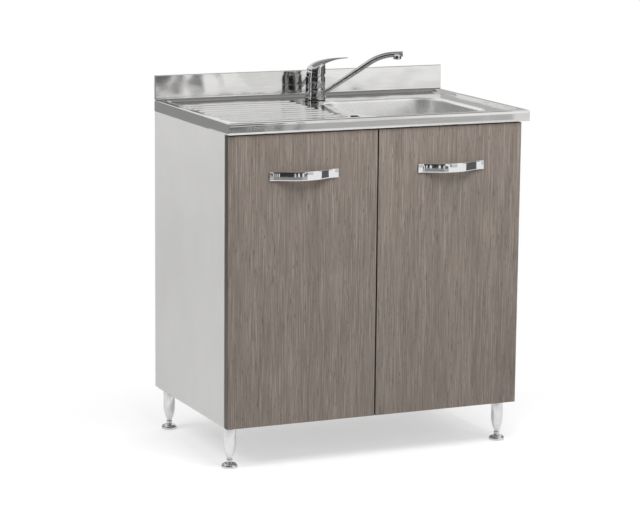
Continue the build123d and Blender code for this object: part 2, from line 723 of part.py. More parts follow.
def make_cup(outer, inward, level):
    x = outer + inward * CUP_IN
    bottom = (x, DOOR_BACK - CUP_DEPTH, level)
    lip = rod((x, DOOR_BACK, level), (0, 1, 0), CUP_RADIUS + CUP_LIP, CUP_LIP)
    half = CUP_WING_WIDTH / 2
    reach = CUP_WING / 2
    wing = block(x - half, x + half, DOOR_BACK, DOOR_BACK + CUP_LIP, level - reach, level + reach)
    inside = rod(
        (x, DOOR_BACK - CUP_DEPTH + CUP_WALL, level), (0, 1, 0), CUP_RADIUS - CUP_WALL, CUP_DEPTH + CUP_LIP
    )
    holes = screw_holes(cup_screw_seats(outer, inward))
    cup = rod(bottom, (0, 1, 0), CUP_RADIUS, CUP_DEPTH) + lip + wing
    return cup - inside - holes - make_pin(outer, inward, level, PIN_CLEARANCE)


def make_arm(outer, inward, level):
    """A bent strip: eye on the pin, across the cup, then back along the plate."""
    x, y, z = hinge_axis(outer, inward, level)
    near = outer + inward * ARM_IN
    far = near + inward * ARM_THICK
    half = ARM_HEIGHT / 2
    tail = ARM_TAIL_HEIGHT / 2
    arm = rod((x, y, z - half), (0, 0, 1), EYE_RADIUS, ARM_HEIGHT)
    arm = arm + block(x, far, y - ARM_THICK / 2, y + ARM_THICK / 2, z - half, z + half)
    arm = arm + block(near, far, y - ARM_THICK / 2, CARCASS_FRONT + ARM_TAIL_START, z - half, z + half)
    arm = arm + block(
        near, far, CARCASS_FRONT + ARM_TAIL_START, CARCASS_FRONT + ARM_LENGTH, z - tail, z + tail
    )
    return arm - rod((x, y, z - ARM_HEIGHT), (0, 0, 1), PIN_RADIUS + PIN_CLEARANCE, 2 * ARM_HEIGHT)


def make_hinge_plate(outer, inward, level):
    near = outer + inward * BOARD
    half = PLATE_HEIGHT / 2
    start = CARCASS_FRONT + ARM_TAIL_START
    plate = block(near, near + inward * PLATE_THICK, start, start + PLATE_LENGTH, level - half, level + half)
    return plate - screw_holes(plate_screw_seats())


def make_bumpers(outer, inward):
    x = outer + inward * (DOOR_WIDTH - BUMPER_INSET)
    levels = (CARCASS_BOTTOM + BOARD / 2, DOOR_TOP - BUMPER_INSET)
    thick = DOOR_CLEARANCE - BUMPER_GAP
    return [rod((x, DOOR_BACK, level), (0, 1, 0), BUMPER_RADIUS, thick) for level in levels]


def make_doors():
    arms = []
    plates = []
    for side, (outer, inward) in SIDES.items():
        save(f"{side}_door", make_door(outer, inward))
        save(f"{side}_handle", make_handle(outer, inward))
        handle_screws = [
            screw(seat, direction, HANDLE_SCREW_RADIUS, DOOR_THICK + HANDLE_SCREW_BITE)
            for seat, direction in handle_screw_seats(outer, inward)
        ]
        save(f"{side}_handle_screws", *handle_screws)
        save(f"{side}_hinge_cups", *[make_cup(outer, inward, level) for level in HINGE_LEVELS])
        save(f"{side}_hinge_pins", *[make_pin(outer, inward, level, 0) for level in HINGE_LEVELS])
        cup_seats = cup_screw_seats(outer, inward)
        save(f"{side}_cup_screws", *[screw(seat, way, SCREW_RADIUS, SCREW_LENGTH) for seat, way in cup_seats])
        save(f"{side}_door_bumpers", *make_bumpers(outer, inward))
        arms += [make_arm(outer, inward, level) for level in HINGE_LEVELS]
        plates += [make_hinge_plate(outer, inward, level) for level in HINGE_LEVELS]
    save("hinge_arms", *arms)
    save("hinge_plates", *plates)


# Waste, trap and overflow, with heights measured down from the bowl's floor


def waste_point(drop):
    return BOWL_X, BOWL_Y, BOWL_FLOOR - drop


def overflow_direction():
    """The level direction from the waste towards the overflow slot, and how far away the slot is."""
    reach_x = SLOT_X - BOWL_X
    reach_y = SLOT_Y - BOWL_Y
    length = sqrt(reach_x**2 + reach_y**2)
    return (reach_x / length, reach_y / length, 0), length


def make_waste_body():
    """Flange on the bowl's floor, strainer cup through it, threaded tail and a nipple for the overflow."""
    cup_outer = WASTE_CUP_RADIUS + WASTE_WALL
    tail_inner = WASTE_TAIL_RADIUS - WASTE_WALL
    bottom = WASTE_CUP_DEPTH + WASTE_WALL
    end = bottom + WASTE_TAIL_LENGTH
    body = turned(
        [
            (WASTE_CUP_RADIUS, 0),
            (WASTE_CUP_RADIUS, -WASTE_CUP_DEPTH),
            (tail_inner, -WASTE_CUP_DEPTH),
            (tail_inner, -end),
            (WASTE_TAIL_RADIUS, -end),
            (WASTE_TAIL_RADIUS, -bottom),
            (cup_outer, -bottom),
            (cup_outer, 0),
            (WASTE_FLANGE_RADIUS, 0),
            (WASTE_FLANGE_RADIUS, WASTE_FLANGE_RISE / 2),
            (cup_outer, WASTE_FLANGE_RISE),
        ],
        waste_point(0),
    )
    direction, _ = overflow_direction()
    start = add_step(waste_point(OVERFLOW_DROP), direction, cup_outer - WASTE_WALL / 2)
    nipple = rod(start, direction, OVERFLOW_RADIUS, WASTE_NUT_RADIUS - cup_outer)
    return body + nipple


def make_waste_nut():
    top = waste_point(SHEET + GASKET_THICK + WASTE_NUT_HEIGHT)
    ring = extrude(Pos(*top) * RegularPolygon(WASTE_NUT_RADIUS, WASTE_NUT_SIDES), WASTE_NUT_HEIGHT)
    return ring - rod(top, (0, 0, 1), WASTE_CUP_RADIUS + WASTE_WALL + THREAD_CLEARANCE, WASTE_NUT_HEIGHT)


def make_waste_gasket():
    low = waste_point(SHEET + GASKET_THICK)
    ring = rod(low, (0, 0, 1), WASTE_FLANGE_RADIUS, GASKET_THICK)
    return ring - rod(low, (0, 0, 1), WASTE_CUP_RADIUS + WASTE_WALL + THREAD_CLEARANCE, GASKET_THICK)


def make_basket():
    """A lift-out strainer that stands on the cup's floor, with a knob in the middle."""
    rim = WASTE_CUP_RADIUS - BASKET_CLEARANCE
    wall_outer = rim - WASTE_WALL
    wall_inner = wall_outer - WASTE_WALL
    floor = -WASTE_CUP_DEPTH
    top = floor + BASKET_DEPTH
    knob_low = top - BASKET_KNOB_RADIUS
    basket = turned(
        [
            (0, floor),
            (wall_outer, floor),
            (wall_outer, top - WASTE_WALL),
            (rim, top - WASTE_WALL),
            (rim, top),
            (wall_inner, top),
            (wall_inner, floor + WASTE_WALL),
            (BASKET_KNOB_RADIUS / 2, floor + WASTE_WALL),
            (BASKET_KNOB_RADIUS / 2, knob_low),
            (BASKET_KNOB_RADIUS, knob_low + WASTE_WALL),
            (BASKET_KNOB_RADIUS, top - WASTE_WALL),
            (BASKET_KNOB_RADIUS / 2, top),
            (0, top),
        ],
        waste_point(0),
    )
    ring = (WASTE_TAIL_RADIUS - WASTE_WALL + BASKET_KNOB_RADIUS) / 2
    holes = []
    for index in range(BASKET_HOLES):
        angle = radians(360 * index / BASKET_HOLES)
        x, y, z = waste_point(WASTE_CUP_DEPTH + WASTE_WALL)
        place = (x + ring * cos(angle), y + ring * sin(angle), z)
        holes.append(rod(place, (0, 0, 1), BASKET_HOLE_RADIUS, 3 * WASTE_WALL))
    return basket - holes


def slip_nut(end, outward, thread_radius):
    """A slip nut screwed over a socket's end: threaded skirt back over it and a lip round the pipe."""
    inner = thread_radius + THREAD_CLEARANCE
    start = add_step(end, outward, SLIP_NUT_LIP - SLIP_NUT_HEIGHT)
    nut = rod(start, outward, thread_radius + SLIP_NUT_WALL, SLIP_NUT_HEIGHT)
    skirt = rod(start, outward, inner, SLIP_NUT_HEIGHT - SLIP_NUT_LIP + WASTE_WALL + THREAD_CLEARANCE)
    bore = rod(start, outward, PIPE_RADIUS + THREAD_CLEARANCE, SLIP_NUT_HEIGHT)
    return nut - skirt - bore


def make_trap():
    """Tailpiece, bottle trap body, its removable cup, the outlet pipe and the three slip nuts."""
    tail_end = WASTE_CUP_DEPTH + WASTE_WALL + WASTE_TAIL_LENGTH
    bore = PIPE_RADIUS - PIPE_WALL
    tailpiece = rod(waste_point(tail_end + DIP_LENGTH), (0, 0, 1), PIPE_RADIUS, DIP_LENGTH)
    tailpiece += rod(waste_point(tail_end + WASTE_WALL), (0, 0, 1), WASTE_TAIL_RADIUS, WASTE_WALL)
    tailpiece -= rod(waste_point(tail_end + DIP_LENGTH), (0, 0, 1), bore, DIP_LENGTH)
    save("tailpiece", tailpiece)

    low = TRAP_TOP_DROP + TRAP_HEIGHT
    shell = rod(waste_point(low), (0, 0, 1), TRAP_RADIUS, TRAP_HEIGHT)
    shell += rod(waste_point(TRAP_TOP_DROP), (0, 0, 1), SOCKET_RADIUS, SOCKET_LENGTH)
    branch_start = waste_point(TRAP_TOP_DROP + BRANCH_DROP)
    branch_end = add_step(branch_start, (0, 1, 0), TRAP_RADIUS + BRANCH_LENGTH)
    shell += rod(branch_start, (0, 1, 0), SOCKET_RADIUS, TRAP_RADIUS + BRANCH_LENGTH)
    shell -= rod(waste_point(low), (0, 0, 1), TRAP_RADIUS - TRAP_WALL, TRAP_HEIGHT - TRAP_WALL)
    fit = PIPE_RADIUS + THREAD_CLEARANCE
    shell -= rod(waste_point(low), (0, 0, 1), fit, TRAP_HEIGHT + 2 * SOCKET_LENGTH)
    shell -= rod(branch_start, (0, 1, 0), fit, TRAP_RADIUS + 2 * BRANCH_LENGTH)
    save("trap_body", shell)

    cup_low = low - TRAP_CUP_LAP + TRAP_CUP_HEIGHT
    cup = rod(waste_point(cup_low), (0, 0, 1), TRAP_RADIUS + TRAP_WALL, TRAP_CUP_HEIGHT)
    cup -= rod(
        waste_point(cup_low - TRAP_WALL), (0, 0, 1), TRAP_RADIUS - TRAP_WALL, TRAP_CUP_HEIGHT - TRAP_WALL
    )
    cup -= rod(waste_point(low), (0, 0, 1), TRAP_RADIUS + THREAD_CLEARANCE, TRAP_CUP_HEIGHT)
    save("trap_cup", cup)

    pipe_start = add_step(branch_start, (0, 1, 0), TRAP_RADIUS)
    pipe_length = CARCASS_BACK - pipe_start[1]
    pipe = rod(pipe_start, (0, 1, 0), PIPE_RADIUS, pipe_length)
    bead_start = add_step(branch_end, (0, 1, 0), BEAD_BACK)
    pipe += rod(bead_start, (0, 1, 0), PIPE_RADIUS + PIPE_WALL, BEAD_WIDTH)
    save("outlet_pipe", pipe - rod(pipe_start, (0, 1, 0), bore, pipe_length))

    save(
        "slip_nuts",
        slip_nut(waste_point(tail_end), (0, 0, -1), WASTE_TAIL_RADIUS),
        slip_nut(waste_point(TRAP_TOP_DROP - SOCKET_LENGTH), (0, 0, 1), SOCKET_RADIUS),
        slip_nut(branch_end, (0, 1, 0), SOCKET_RADIUS),
    )


def make_overflow():
    """A box under the slot and a bent pipe from it to the nipple on the waste."""
    half_length = SLOT_LENGTH / 2 + OVERFLOW_LIP
    half_width = SLOT_WIDTH / 2 + OVERFLOW_LIP
    box = block(
        SLOT_X - half_length, SLOT_X + half_length, SLOT_Y - half_width, SLOT_Y + half_width,
        PLATE_UNDER - OVERFLOW_BOX, PLATE_UNDER,
    )
    slot = Pos(SLOT_X, SLOT_Y, PLATE_UNDER - OVERFLOW_BOX + OVERFLOW_LIP)
    box -= extrude(slot * SlotOverall(SLOT_LENGTH, SLOT_WIDTH), OVERFLOW_BOX)
    direction, reach = overflow_direction()
    level = BOWL_FLOOR - OVERFLOW_DROP
    near = add_step(waste_point(OVERFLOW_DROP), direction, WASTE_NUT_RADIUS - WASTE_WALL / 2)
    path = FilletPolyline(
        (SLOT_X, SLOT_Y, PLATE_UNDER - OVERFLOW_BOX), (SLOT_X, SLOT_Y, level), near, radius=OVERFLOW_BEND
    )
    ring = Plane(origin=path @ 0, z_dir=path % 0).location * Circle(OVERFLOW_RADIUS)
    return box + sweep(ring, path=path)


# Mixer tap


def tap_place(turn):
    return Pos(TAP_X, TAP_Y, PLATE_TOP) * Rot(0, 0, turn)


def make_tap_body():
    """Waist through the spout's collar and a wider barrel above it that holds the cartridge."""
    shoulder = TAP_RING_TOP + COLLAR_HEIGHT + 2 * COLLAR_GAP
    seat = TAP_BODY_TOP - CARTRIDGE_RECESS - CARTRIDGE_HEIGHT
    body = turned(
        [
            (0, -TAP_SHANK_LENGTH),
            (TAP_HOLE_RADIUS - TAP_SHANK_CLEARANCE, -TAP_SHANK_LENGTH),
            (TAP_HOLE_RADIUS - TAP_SHANK_CLEARANCE, TAP_SEAL_THICK),
            (TAP_WAIST_RADIUS, TAP_SEAL_THICK),
            (TAP_WAIST_RADIUS, shoulder),
            (TAP_RADIUS, shoulder),
            (TAP_RADIUS, TAP_BODY_TOP),
            (CARTRIDGE_RADIUS + DRILL_CLEARANCE, TAP_BODY_TOP),
            (CARTRIDGE_RADIUS + DRILL_CLEARANCE, seat),
            (0, seat),
        ]
    )
    under = -TAP_SHANK_LENGTH
    inlets = [rod((side * INLET_SPREAD / 2, -INLET_FRONT, under), (0, 0, 1), INLET_RADIUS, INLET_DEPTH)
              for side in (-1, 1)]
    stud_hole = rod((0, STUD_BACK, under), (0, 0, 1), STUD_RADIUS + DRILL_CLEARANCE, STUD_BITE)
    return tap_place(0) * (body - inlets - stud_hole)


def make_tap_base():
    """The ring under the spout's collar."""
    ring = rod((0, 0, TAP_SEAL_THICK), (0, 0, 1), TAP_RADIUS + TAP_RING_LIP, TAP_RING_TOP - TAP_SEAL_THICK)
    waist = rod((0, 0, 0), (0, 0, 1), TAP_WAIST_RADIUS + RUNNING_CLEARANCE, TAP_RING_TOP)
    return tap_place(0) * (ring - waist)


def make_tap_seal():
    seal = rod((0, 0, 0), (0, 0, 1), TAP_RADIUS, TAP_SEAL_THICK)
    return tap_place(0) * (seal - rod((0, 0, 0), (0, 0, 1), TAP_HOLE_RADIUS, TAP_SEAL_THICK))


def make_cartridge():
    low = TAP_BODY_TOP - CARTRIDGE_RECESS - CARTRIDGE_HEIGHT
    shaft_low = TAP_BODY_TOP - CARRIER_SHAFT_LENGTH - 2 * DOME_GAP
    body = rod((0, 0, low), (0, 0, 1), CARTRIDGE_RADIUS, CARTRIDGE_HEIGHT)
    shaft = rod((0, 0, shaft_low), (0, 0, 1), CARRIER_SHAFT_RADIUS + RUNNING_CLEARANCE, CARTRIDGE_HEIGHT)
    return tap_place(0) * (body - shaft)


def make_carrier():
    """The dome that turns on the barrel, with a shaft into the cartridge and a trunnion on each side."""
    low = TAP_BODY_TOP + DOME_GAP
    dome = Pos(0, 0, DOME_CENTRE) * Sphere(DOME_RADIUS)
    wide = (-DOME_RADIUS, DOME_RADIUS)
    dome = dome & block(*wide, *wide, DOME_CENTRE, DOME_CENTRE + DOME_RADIUS)
    dome += rod((0, 0, low), (0, 0, 1), DOME_RADIUS, DOME_CENTRE - low)
    dome += rod((0, 0, low - CARRIER_SHAFT_LENGTH), (0, 0, 1), CARRIER_SHAFT_RADIUS, CARRIER_SHAFT_LENGTH)
    reach = DOME_RADIUS + HUB_CLEARANCE + TRUNNION_BITE
    dome += rod((0, -reach, DOME_CENTRE), (0, 1, 0), TRUNNION_RADIUS, 2 * reach)
    return tap_place(TAP_REST_TURN) * dome


def make_lever():
    """A helmet over the dome, its lower edge cut away at the back so that it can tip, and a thin blade.

    Three outlines are extruded and what they share is kept: the side view, the plan and the crown's arch.
    """
    inner = DOME_RADIUS + HUB_CLEARANCE
    outer = inner + HUB_WALL
    side_view = make_face(
        Wire([
            Spline(
                (-outer, 0, HUB_BACK),
                (0, 0, LEVER_CROWN),
                (LEVER_REACH, 0, LEVER_TIP),
                tangents=[(0.15, 0, 1), (1, 0, 0.03)],
            ),
            Line((LEVER_REACH, 0, LEVER_TIP), (LEVER_REACH, 0, LEVER_TIP - LEVER_TIP_THICK)),
            Spline(
                (LEVER_REACH, 0, LEVER_TIP - LEVER_TIP_THICK),
                (outer, 0, LEVER_NECK),
                tangents=[(-1, 0, -0.03), (-0.15, 0, -1)],
            ),
            Line((outer, 0, LEVER_NECK), (outer, 0, HUB_FRONT)),
            Line((outer, 0, HUB_FRONT), (-outer, 0, HUB_BACK)),
        ])
    )
    middle = LEVER_REACH / 2
    blade_plan = make_face(
        Polyline(
            (0, -LEVER_WIDTH / 2),
            (middle, -LEVER_WIDTH / 2),
            (LEVER_REACH, -LEVER_TIP_WIDTH / 2),
            (LEVER_REACH, LEVER_TIP_WIDTH / 2),
            (middle, LEVER_WIDTH / 2),
            (0, LEVER_WIDTH / 2),
            close=True,
        )
    )
    barrel = rod((0, 0, 0), (0, 0, 1), outer, LEVER_TIP)
    crown_low = DOME_CENTRE + EAR_RADIUS
    crown = Plane.YZ.location * Pos(0, crown_low, 0) * Ellipse(outer, LEVER_TIP - crown_low)
    arch = extrude(crown, 2 * LEVER_REACH, both=True)
    arch += block(-LEVER_REACH, LEVER_REACH, -outer, outer, 0, crown_low)
    lever = extrude(side_view, outer, both=True) & (barrel + extrude(blade_plan, LEVER_TIP)) & arch
    lever += block(-EAR_RADIUS, EAR_RADIUS, -outer, outer, DOME_CENTRE, HUB_BACK) & barrel
    lever -= Pos(0, 0, DOME_CENTRE) * Sphere(inner)
    for start in (-outer, inner):
        lever += rod((0, start, DOME_CENTRE), (0, 1, 0), EAR_RADIUS, HUB_WALL) & barrel
    bite = inner + TRUNNION_BITE + DRILL_CLEARANCE
    bore = rod((0, -bite, DOME_CENTRE), (0, 1, 0), TRUNNION_RADIUS + RUNNING_CLEARANCE, 2 * bite)
    return tap_place(TAP_REST_TURN) * (lever - bore)


def make_spout():
    """A collar round the waist, a tube that climbs and then levels out, and a short nozzle at its end."""
    collar_low = TAP_RING_TOP + COLLAR_GAP
    collar = rod((0, 0, collar_low), (0, 0, 1), TAP_RADIUS, COLLAR_HEIGHT)
    path = FilletPolyline(
        (TAP_WAIST_RADIUS, 0, SPOUT_START),
        (SPOUT_KNEE_REACH, 0, SPOUT_KNEE_HEIGHT),
        (SPOUT_REACH, 0, SPOUT_HEIGHT),
        radius=SPOUT_BEND,
    )
    ring = Plane(origin=path @ 0, z_dir=path % 0).location * Circle(SPOUT_RADIUS)
    tube = sweep(ring, path=path)
    nozzle_x = SPOUT_REACH - NOZZLE_SETBACK
    nozzle_low = SPOUT_HEIGHT - NOZZLE_DROP
    nozzle = rod((nozzle_x, 0, nozzle_low), (0, 0, 1), NOZZLE_RADIUS, NOZZLE_DROP)
    seat = rod((nozzle_x, 0, nozzle_low), (0, 0, 1), AERATOR_RADIUS + DRILL_CLEARANCE, AERATOR_HEIGHT)
    waist = rod((0, 0, 0), (0, 0, 1), TAP_WAIST_RADIUS + RUNNING_CLEARANCE, TAP_BODY_TOP)
    return tap_place(TAP_REST_TURN) * (collar + tube + nozzle - seat - waist)


def make_aerator():
    x = SPOUT_REACH - NOZZLE_SETBACK
    low = SPOUT_HEIGHT - NOZZLE_DROP
    ring = rod((x, 0, low - AERATOR_PROUD), (0, 0, 1), AERATOR_RADIUS, AERATOR_HEIGHT + AERATOR_PROUD)
    mouth = rod((x, 0, low - AERATOR_PROUD), (0, 0, 1), AERATOR_RADIUS - 2 * AERATOR_PROUD, 2 * AERATOR_PROUD)
    return tap_place(TAP_REST_TURN) * (ring - mouth)


def make_tap_fixing():
    """The stud, horseshoe plate and nut that clamp the tap to the sheet from below."""
    under = -TAP_SHANK_LENGTH
    stud = rod((0, STUD_BACK, under + STUD_BITE), (0, 0, -1), STUD_RADIUS, STUD_BITE + STUD_LENGTH)
    plate_low = -SHEET - CLAMP_THICK
    plate = rod((0, 0, plate_low), (0, 0, 1), CLAMP_RADIUS, CLAMP_THICK)
    half = CLAMP_MOUTH / 2
    mouth = block(-half, half, -CLAMP_RADIUS, STUD_BACK - 2 * STUD_RADIUS, plate_low, 0)
    nut_low = plate_low - STUD_NUT_HEIGHT
    nut = extrude(Pos(0, STUD_BACK, nut_low) * RegularPolygon(STUD_NUT_RADIUS, 6), STUD_NUT_HEIGHT)
    way_length = CLAMP_THICK + STUD_NUT_HEIGHT
    way = rod((0, STUD_BACK, nut_low), (0, 0, 1), STUD_RADIUS + DRILL_CLEARANCE, way_length)
    save("tap_stud", tap_place(0) * stud)
    save("tap_clamp_plate", tap_place(0) * (plate - mouth - way))
    save("tap_clamp_nut", tap_place(0) * (nut - way))


def make_all():
    os.makedirs("parts", exist_ok=True)
    save("sink_deck", make_deck())
    save("sink_upstand", make_upstand())
    save("sink_bowl", make_bowl())
    make_carcass()
    save("top_battens", *make_battens())
    save("top_brackets", *[make_bracket(*place) for place in bracket_places()])
    save("wood_screws", *[screw(seat, way, SCREW_RADIUS, SCREW_LENGTH) for seat, way in wood_screw_seats()])
    for place, (x, y) in LEG_PLACES.items():
        save(f"leg_{place}", make_leg(x, y))
        save(f"foot_{place}", make_foot(x, y))
    make_doors()
    save("waste_body", make_waste_body())
    save("waste_gasket", make_waste_gasket())
    save("waste_nut", make_waste_nut())
    save("strainer_basket", make_basket())
    make_trap()
    save("overflow_pipe", make_overflow())
    save("tap_body", make_tap_body())
    save("tap_base_ring", make_tap_base())
    save("tap_seal", make_tap_seal())
    save("tap_cartridge", make_cartridge())
    save("lever_carrier", make_carrier())
    save("tap_lever", make_lever())
    save("spout", make_spout())
    save("aerator", make_aerator())
    make_tap_fixing()


make_all()
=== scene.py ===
"""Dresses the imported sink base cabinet: its own surfaces and finishes, a pale stage and the photo's camera.

It is laid out as an add-on: sizes and colours are properties, each piece or group of like pieces has an
operator, and a panel lists them. All lengths are metres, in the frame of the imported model.
"""

import json
import math

import bmesh
import bpy
import numpy as np
from mathutils import Matrix, Vector

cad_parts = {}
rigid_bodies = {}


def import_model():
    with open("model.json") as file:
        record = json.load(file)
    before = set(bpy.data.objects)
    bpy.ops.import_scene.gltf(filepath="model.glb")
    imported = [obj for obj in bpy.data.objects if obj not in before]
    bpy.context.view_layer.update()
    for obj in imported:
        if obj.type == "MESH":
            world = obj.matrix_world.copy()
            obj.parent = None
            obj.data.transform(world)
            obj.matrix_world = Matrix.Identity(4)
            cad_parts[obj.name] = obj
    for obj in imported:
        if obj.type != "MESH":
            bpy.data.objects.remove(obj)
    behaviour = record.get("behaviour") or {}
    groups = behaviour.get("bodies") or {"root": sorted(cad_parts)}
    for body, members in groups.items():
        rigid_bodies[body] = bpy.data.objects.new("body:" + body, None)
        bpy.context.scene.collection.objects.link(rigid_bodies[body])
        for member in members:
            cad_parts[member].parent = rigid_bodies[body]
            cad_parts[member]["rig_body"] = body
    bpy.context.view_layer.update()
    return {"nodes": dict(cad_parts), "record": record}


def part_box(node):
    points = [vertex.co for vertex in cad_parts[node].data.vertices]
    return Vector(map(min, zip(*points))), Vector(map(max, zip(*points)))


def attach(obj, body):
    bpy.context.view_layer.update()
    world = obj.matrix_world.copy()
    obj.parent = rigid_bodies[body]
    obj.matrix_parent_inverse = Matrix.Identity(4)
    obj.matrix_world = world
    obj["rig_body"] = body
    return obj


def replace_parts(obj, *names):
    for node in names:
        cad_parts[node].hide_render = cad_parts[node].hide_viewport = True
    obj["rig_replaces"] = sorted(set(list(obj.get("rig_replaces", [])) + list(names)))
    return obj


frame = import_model()

bl_info = {
    "name": "Sink base cabinet",
    "version": (1, 0, 0),
    "blender": (4, 5, 0),
    "location": "View3D > Sidebar > Sink",
    "description": "Surfaces, finishes and stage for a sink base cabinet",
    "category": "Object",
}

SIDES = ("left", "right")
CORNERS = ("front_left", "front_right", "back_left", "back_right")
# Points closer than MERGE become one, and the deck's grid lines keep CLOSEST_LINES apart.
MERGE = 1e-6
CLOSEST_LINES = 0.0004


def box_of(node):
    """Lowest and highest corner of a CAD node as arrays."""
    low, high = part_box(node)
    return np.array(low), np.array(high)


DECK_LOW, DECK_HIGH = box_of("sink_deck")
BOWL_LOW, BOWL_HIGH = box_of("sink_bowl")
UPSTAND_LOW, UPSTAND_HIGH = box_of("sink_upstand")
RING_LOW, RING_HIGH = box_of("tap_base_ring")
PLATE = float(BOWL_HIGH[2])
TAP_AXIS = (RING_LOW + RING_HIGH)[:2] / 2


def length(default, description):
    """A property in metres."""
    return bpy.props.FloatProperty(
        default=default, description=description, unit="LENGTH", subtype="DISTANCE", precision=4
    )


def angle(degrees, description):
    """A property given and shown in degrees."""
    return bpy.props.FloatProperty(
        default=math.radians(degrees), description=description, unit="ROTATION", subtype="ANGLE"
    )


def colour(default, description):
    """A property that holds a linear colour."""
    return bpy.props.FloatVectorProperty(
        default=default, description=description, subtype="COLOR", size=3, min=0.0, max=1.0
    )


def amount(default, description):
    """A property from 0 to 1."""
    return bpy.props.FloatProperty(default=default, description=description, min=0.0, max=1.0)


def number(default, description):
    """A property without a unit or limits."""
    return bpy.props.FloatProperty(default=default, description=description)


def point(default, description):
    """A property that holds a place in metres."""
    return bpy.props.FloatVectorProperty(default=default, description=description, subtype="XYZ")


class SinkTopSizes(bpy.types.PropertyGroup):
    """The pressed stainless top."""

    sheet: length(0.0012, "Thickness of the stainless sheet")
    rim: length(0.016, "Level strip between the edge and the tray")
    bend: length(0.005, "Radius where the rim turns down into the skirt")
    tray_depth: length(0.006, "How far the tray lies below the rim")
    tray_slope: length(0.008, "Width of the slope from rim to tray")
    tray_corner: length(0.028, "Corner radius of the tray")
    rib_pitch: length(0.038, "Distance between drainer ribs")
    rib_first: length(0.058, "First rib's distance from the front edge")
    rib_count: bpy.props.IntProperty(default=10, description="Number of drainer ribs")
    rib_height: length(0.0022, "Rise of a rib over the tray")
    rib_half: length(0.007, "Half the width of a rib at its foot")
    rib_left: length(0.034, "From the left edge to the ribs")
    rib_right: length(0.047, "From the ribs to the bowl's lip")
    slot_gap: length(0.026, "From the overflow slot's middle to the bowl's lip")
    slot_front: length(0.061, "From the front edge to the overflow slot")
    slot_half: length(0.013, "Half the length of the overflow slot")
    slot_radius: length(0.004, "Radius of the slot's round ends")
    slot_hood: length(0.0036, "Rise of the sheet pressed up behind the overflow slot")
    hood_side: length(0.006, "Width over which the hood falls off at its ends")
    hood_back: length(0.018, "Length over which the hood falls off behind")
    tap_hole: length(0.0175, "Radius of the tap hole")
    cove: length(0.004, "Radius where the deck turns up into the upstand")
    upstand_edge: length(0.002, "Rounding of the upstand's top edges")


class BowlSizes(bpy.types.PropertyGroup):
    """The drawn bowl."""

    lip: length(0.011, "Width of the lip round the opening")
    lip_bend: length(0.008, "Radius where the lip turns down")
    lap: length(0.0015, "How far the lip laps the deck's hole")
    corner: length(0.060, "Corner radius of the opening")
    draft: length(0.012, "How far the walls lean in on their way down")
    floor_bend: length(0.018, "Radius between wall and floor")
    drain: length(0.045, "Radius of the drain hole")


class TapSizes(bpy.types.PropertyGroup):
    """The mixer tap, with heights above the tray."""

    turn: angle(-30.0, "Direction of lever and spout at rest, from +X")
    radius: length(0.025, "Radius of barrel and collar")
    ring_radius: length(0.027, "Radius of the base ring")
    seal_top: length(0.0015, "Top of the rubber seal")
    ring_top: length(0.009, "Top of the base ring")
    collar_low: length(0.0094, "Foot of the spout's collar")
    collar_top: length(0.0314, "Top of the spout's collar")
    barrel_low: length(0.0318, "Foot of the barrel")
    barrel_top: length(0.060, "Top of the barrel")
    bore: length(0.0201, "Bore of the base ring and of the spout's collar")
    barrel_bore: length(0.0176, "Bore of the barrel")
    core: length(0.0198, "Radius of the core inside ring and collar")
    core_bore: length(0.0165, "Bore of the core")
    core_lap: length(0.0005, "Foot of the core, and how far its top passes the barrel's foot")
    dome_radius: length(0.0232, "Radius of the dome under the lever")
    dome_low: length(0.0603, "Foot of the dome")
    dome_centre: length(0.066, "Height of the lever's tilting axis")
    hub: length(0.0256, "Radius of the lever's hub")
    hub_inside: length(0.0236, "Radius of the hollow that clears the dome")
    hub_front: length(0.0665, "Lower edge of the hub at the front")
    hub_back: length(0.078, "Lower edge of the hub at the back")
    crown: length(0.098, "Height of the lever over the tap's axis")
    neck: length(0.092, "Where the blade's underside leaves the hub")
    reach: length(0.082, "From the tap's axis to the lever's tip")
    tip: length(0.110, "Height of the lever's tip")
    tip_thick: length(0.003, "Thickness of the blade at its tip")
    blade_half: length(0.011, "Half the blade's width near the hub")
    tip_half: length(0.0065, "Half the blade's width at its tip")
    tube: length(0.0075, "Radius of the spout's tube")
    tube_crown: length(0.0016, "Rounding of the tube's end")
    start_reach: length(0.020, "Where the tube starts inside the collar")
    start_height: length(0.016, "Height of the tube where it starts")
    knee_reach: length(0.165, "From the tap's axis to the spout's knee")
    knee_height: length(0.117, "Height of the spout's knee")
    end_reach: length(0.221, "From the tap's axis to the spout's end")
    end_height: length(0.121, "Height of the spout's end")
    knee_bend: length(0.120, "Bending radius of the knee")
    nozzle_radius: length(0.0105, "Radius of the nozzle")
    nozzle_back: length(0.013, "From the spout's end to the nozzle's axis")
    nozzle_drop: length(0.013, "From the tube's axis to the nozzle's mouth")
    nozzle_bore: length(0.0076, "Radius of the nozzle's bore")
    nozzle_deep: length(0.005, "Depth of the bore, and of the shoulder above")
    aerator: length(0.0075, "Radius of the aerator")
    aerator_high: length(0.006, "Height of the aerator")
    aerator_out: length(0.001, "How far the aerator stands out of the nozzle")
    screen: length(0.0055, "Radius of the aerator's screen")
    screen_deep: length(0.004, "How far the screen is sunk")


class EdgeSizes(bpy.types.PropertyGroup):
    """The eased edges of boards and doors."""

    board: length(0.0006, "Easing of the carcass boards")
    back: length(0.0004, "Easing of the back panel")
    board_shortest: length(0.012, "Shorter edges of a board stay as they are")
    door: length(0.0008, "Easing of the doors")
    door_shortest: length(0.1, "Shorter edges of a door stay as they are")


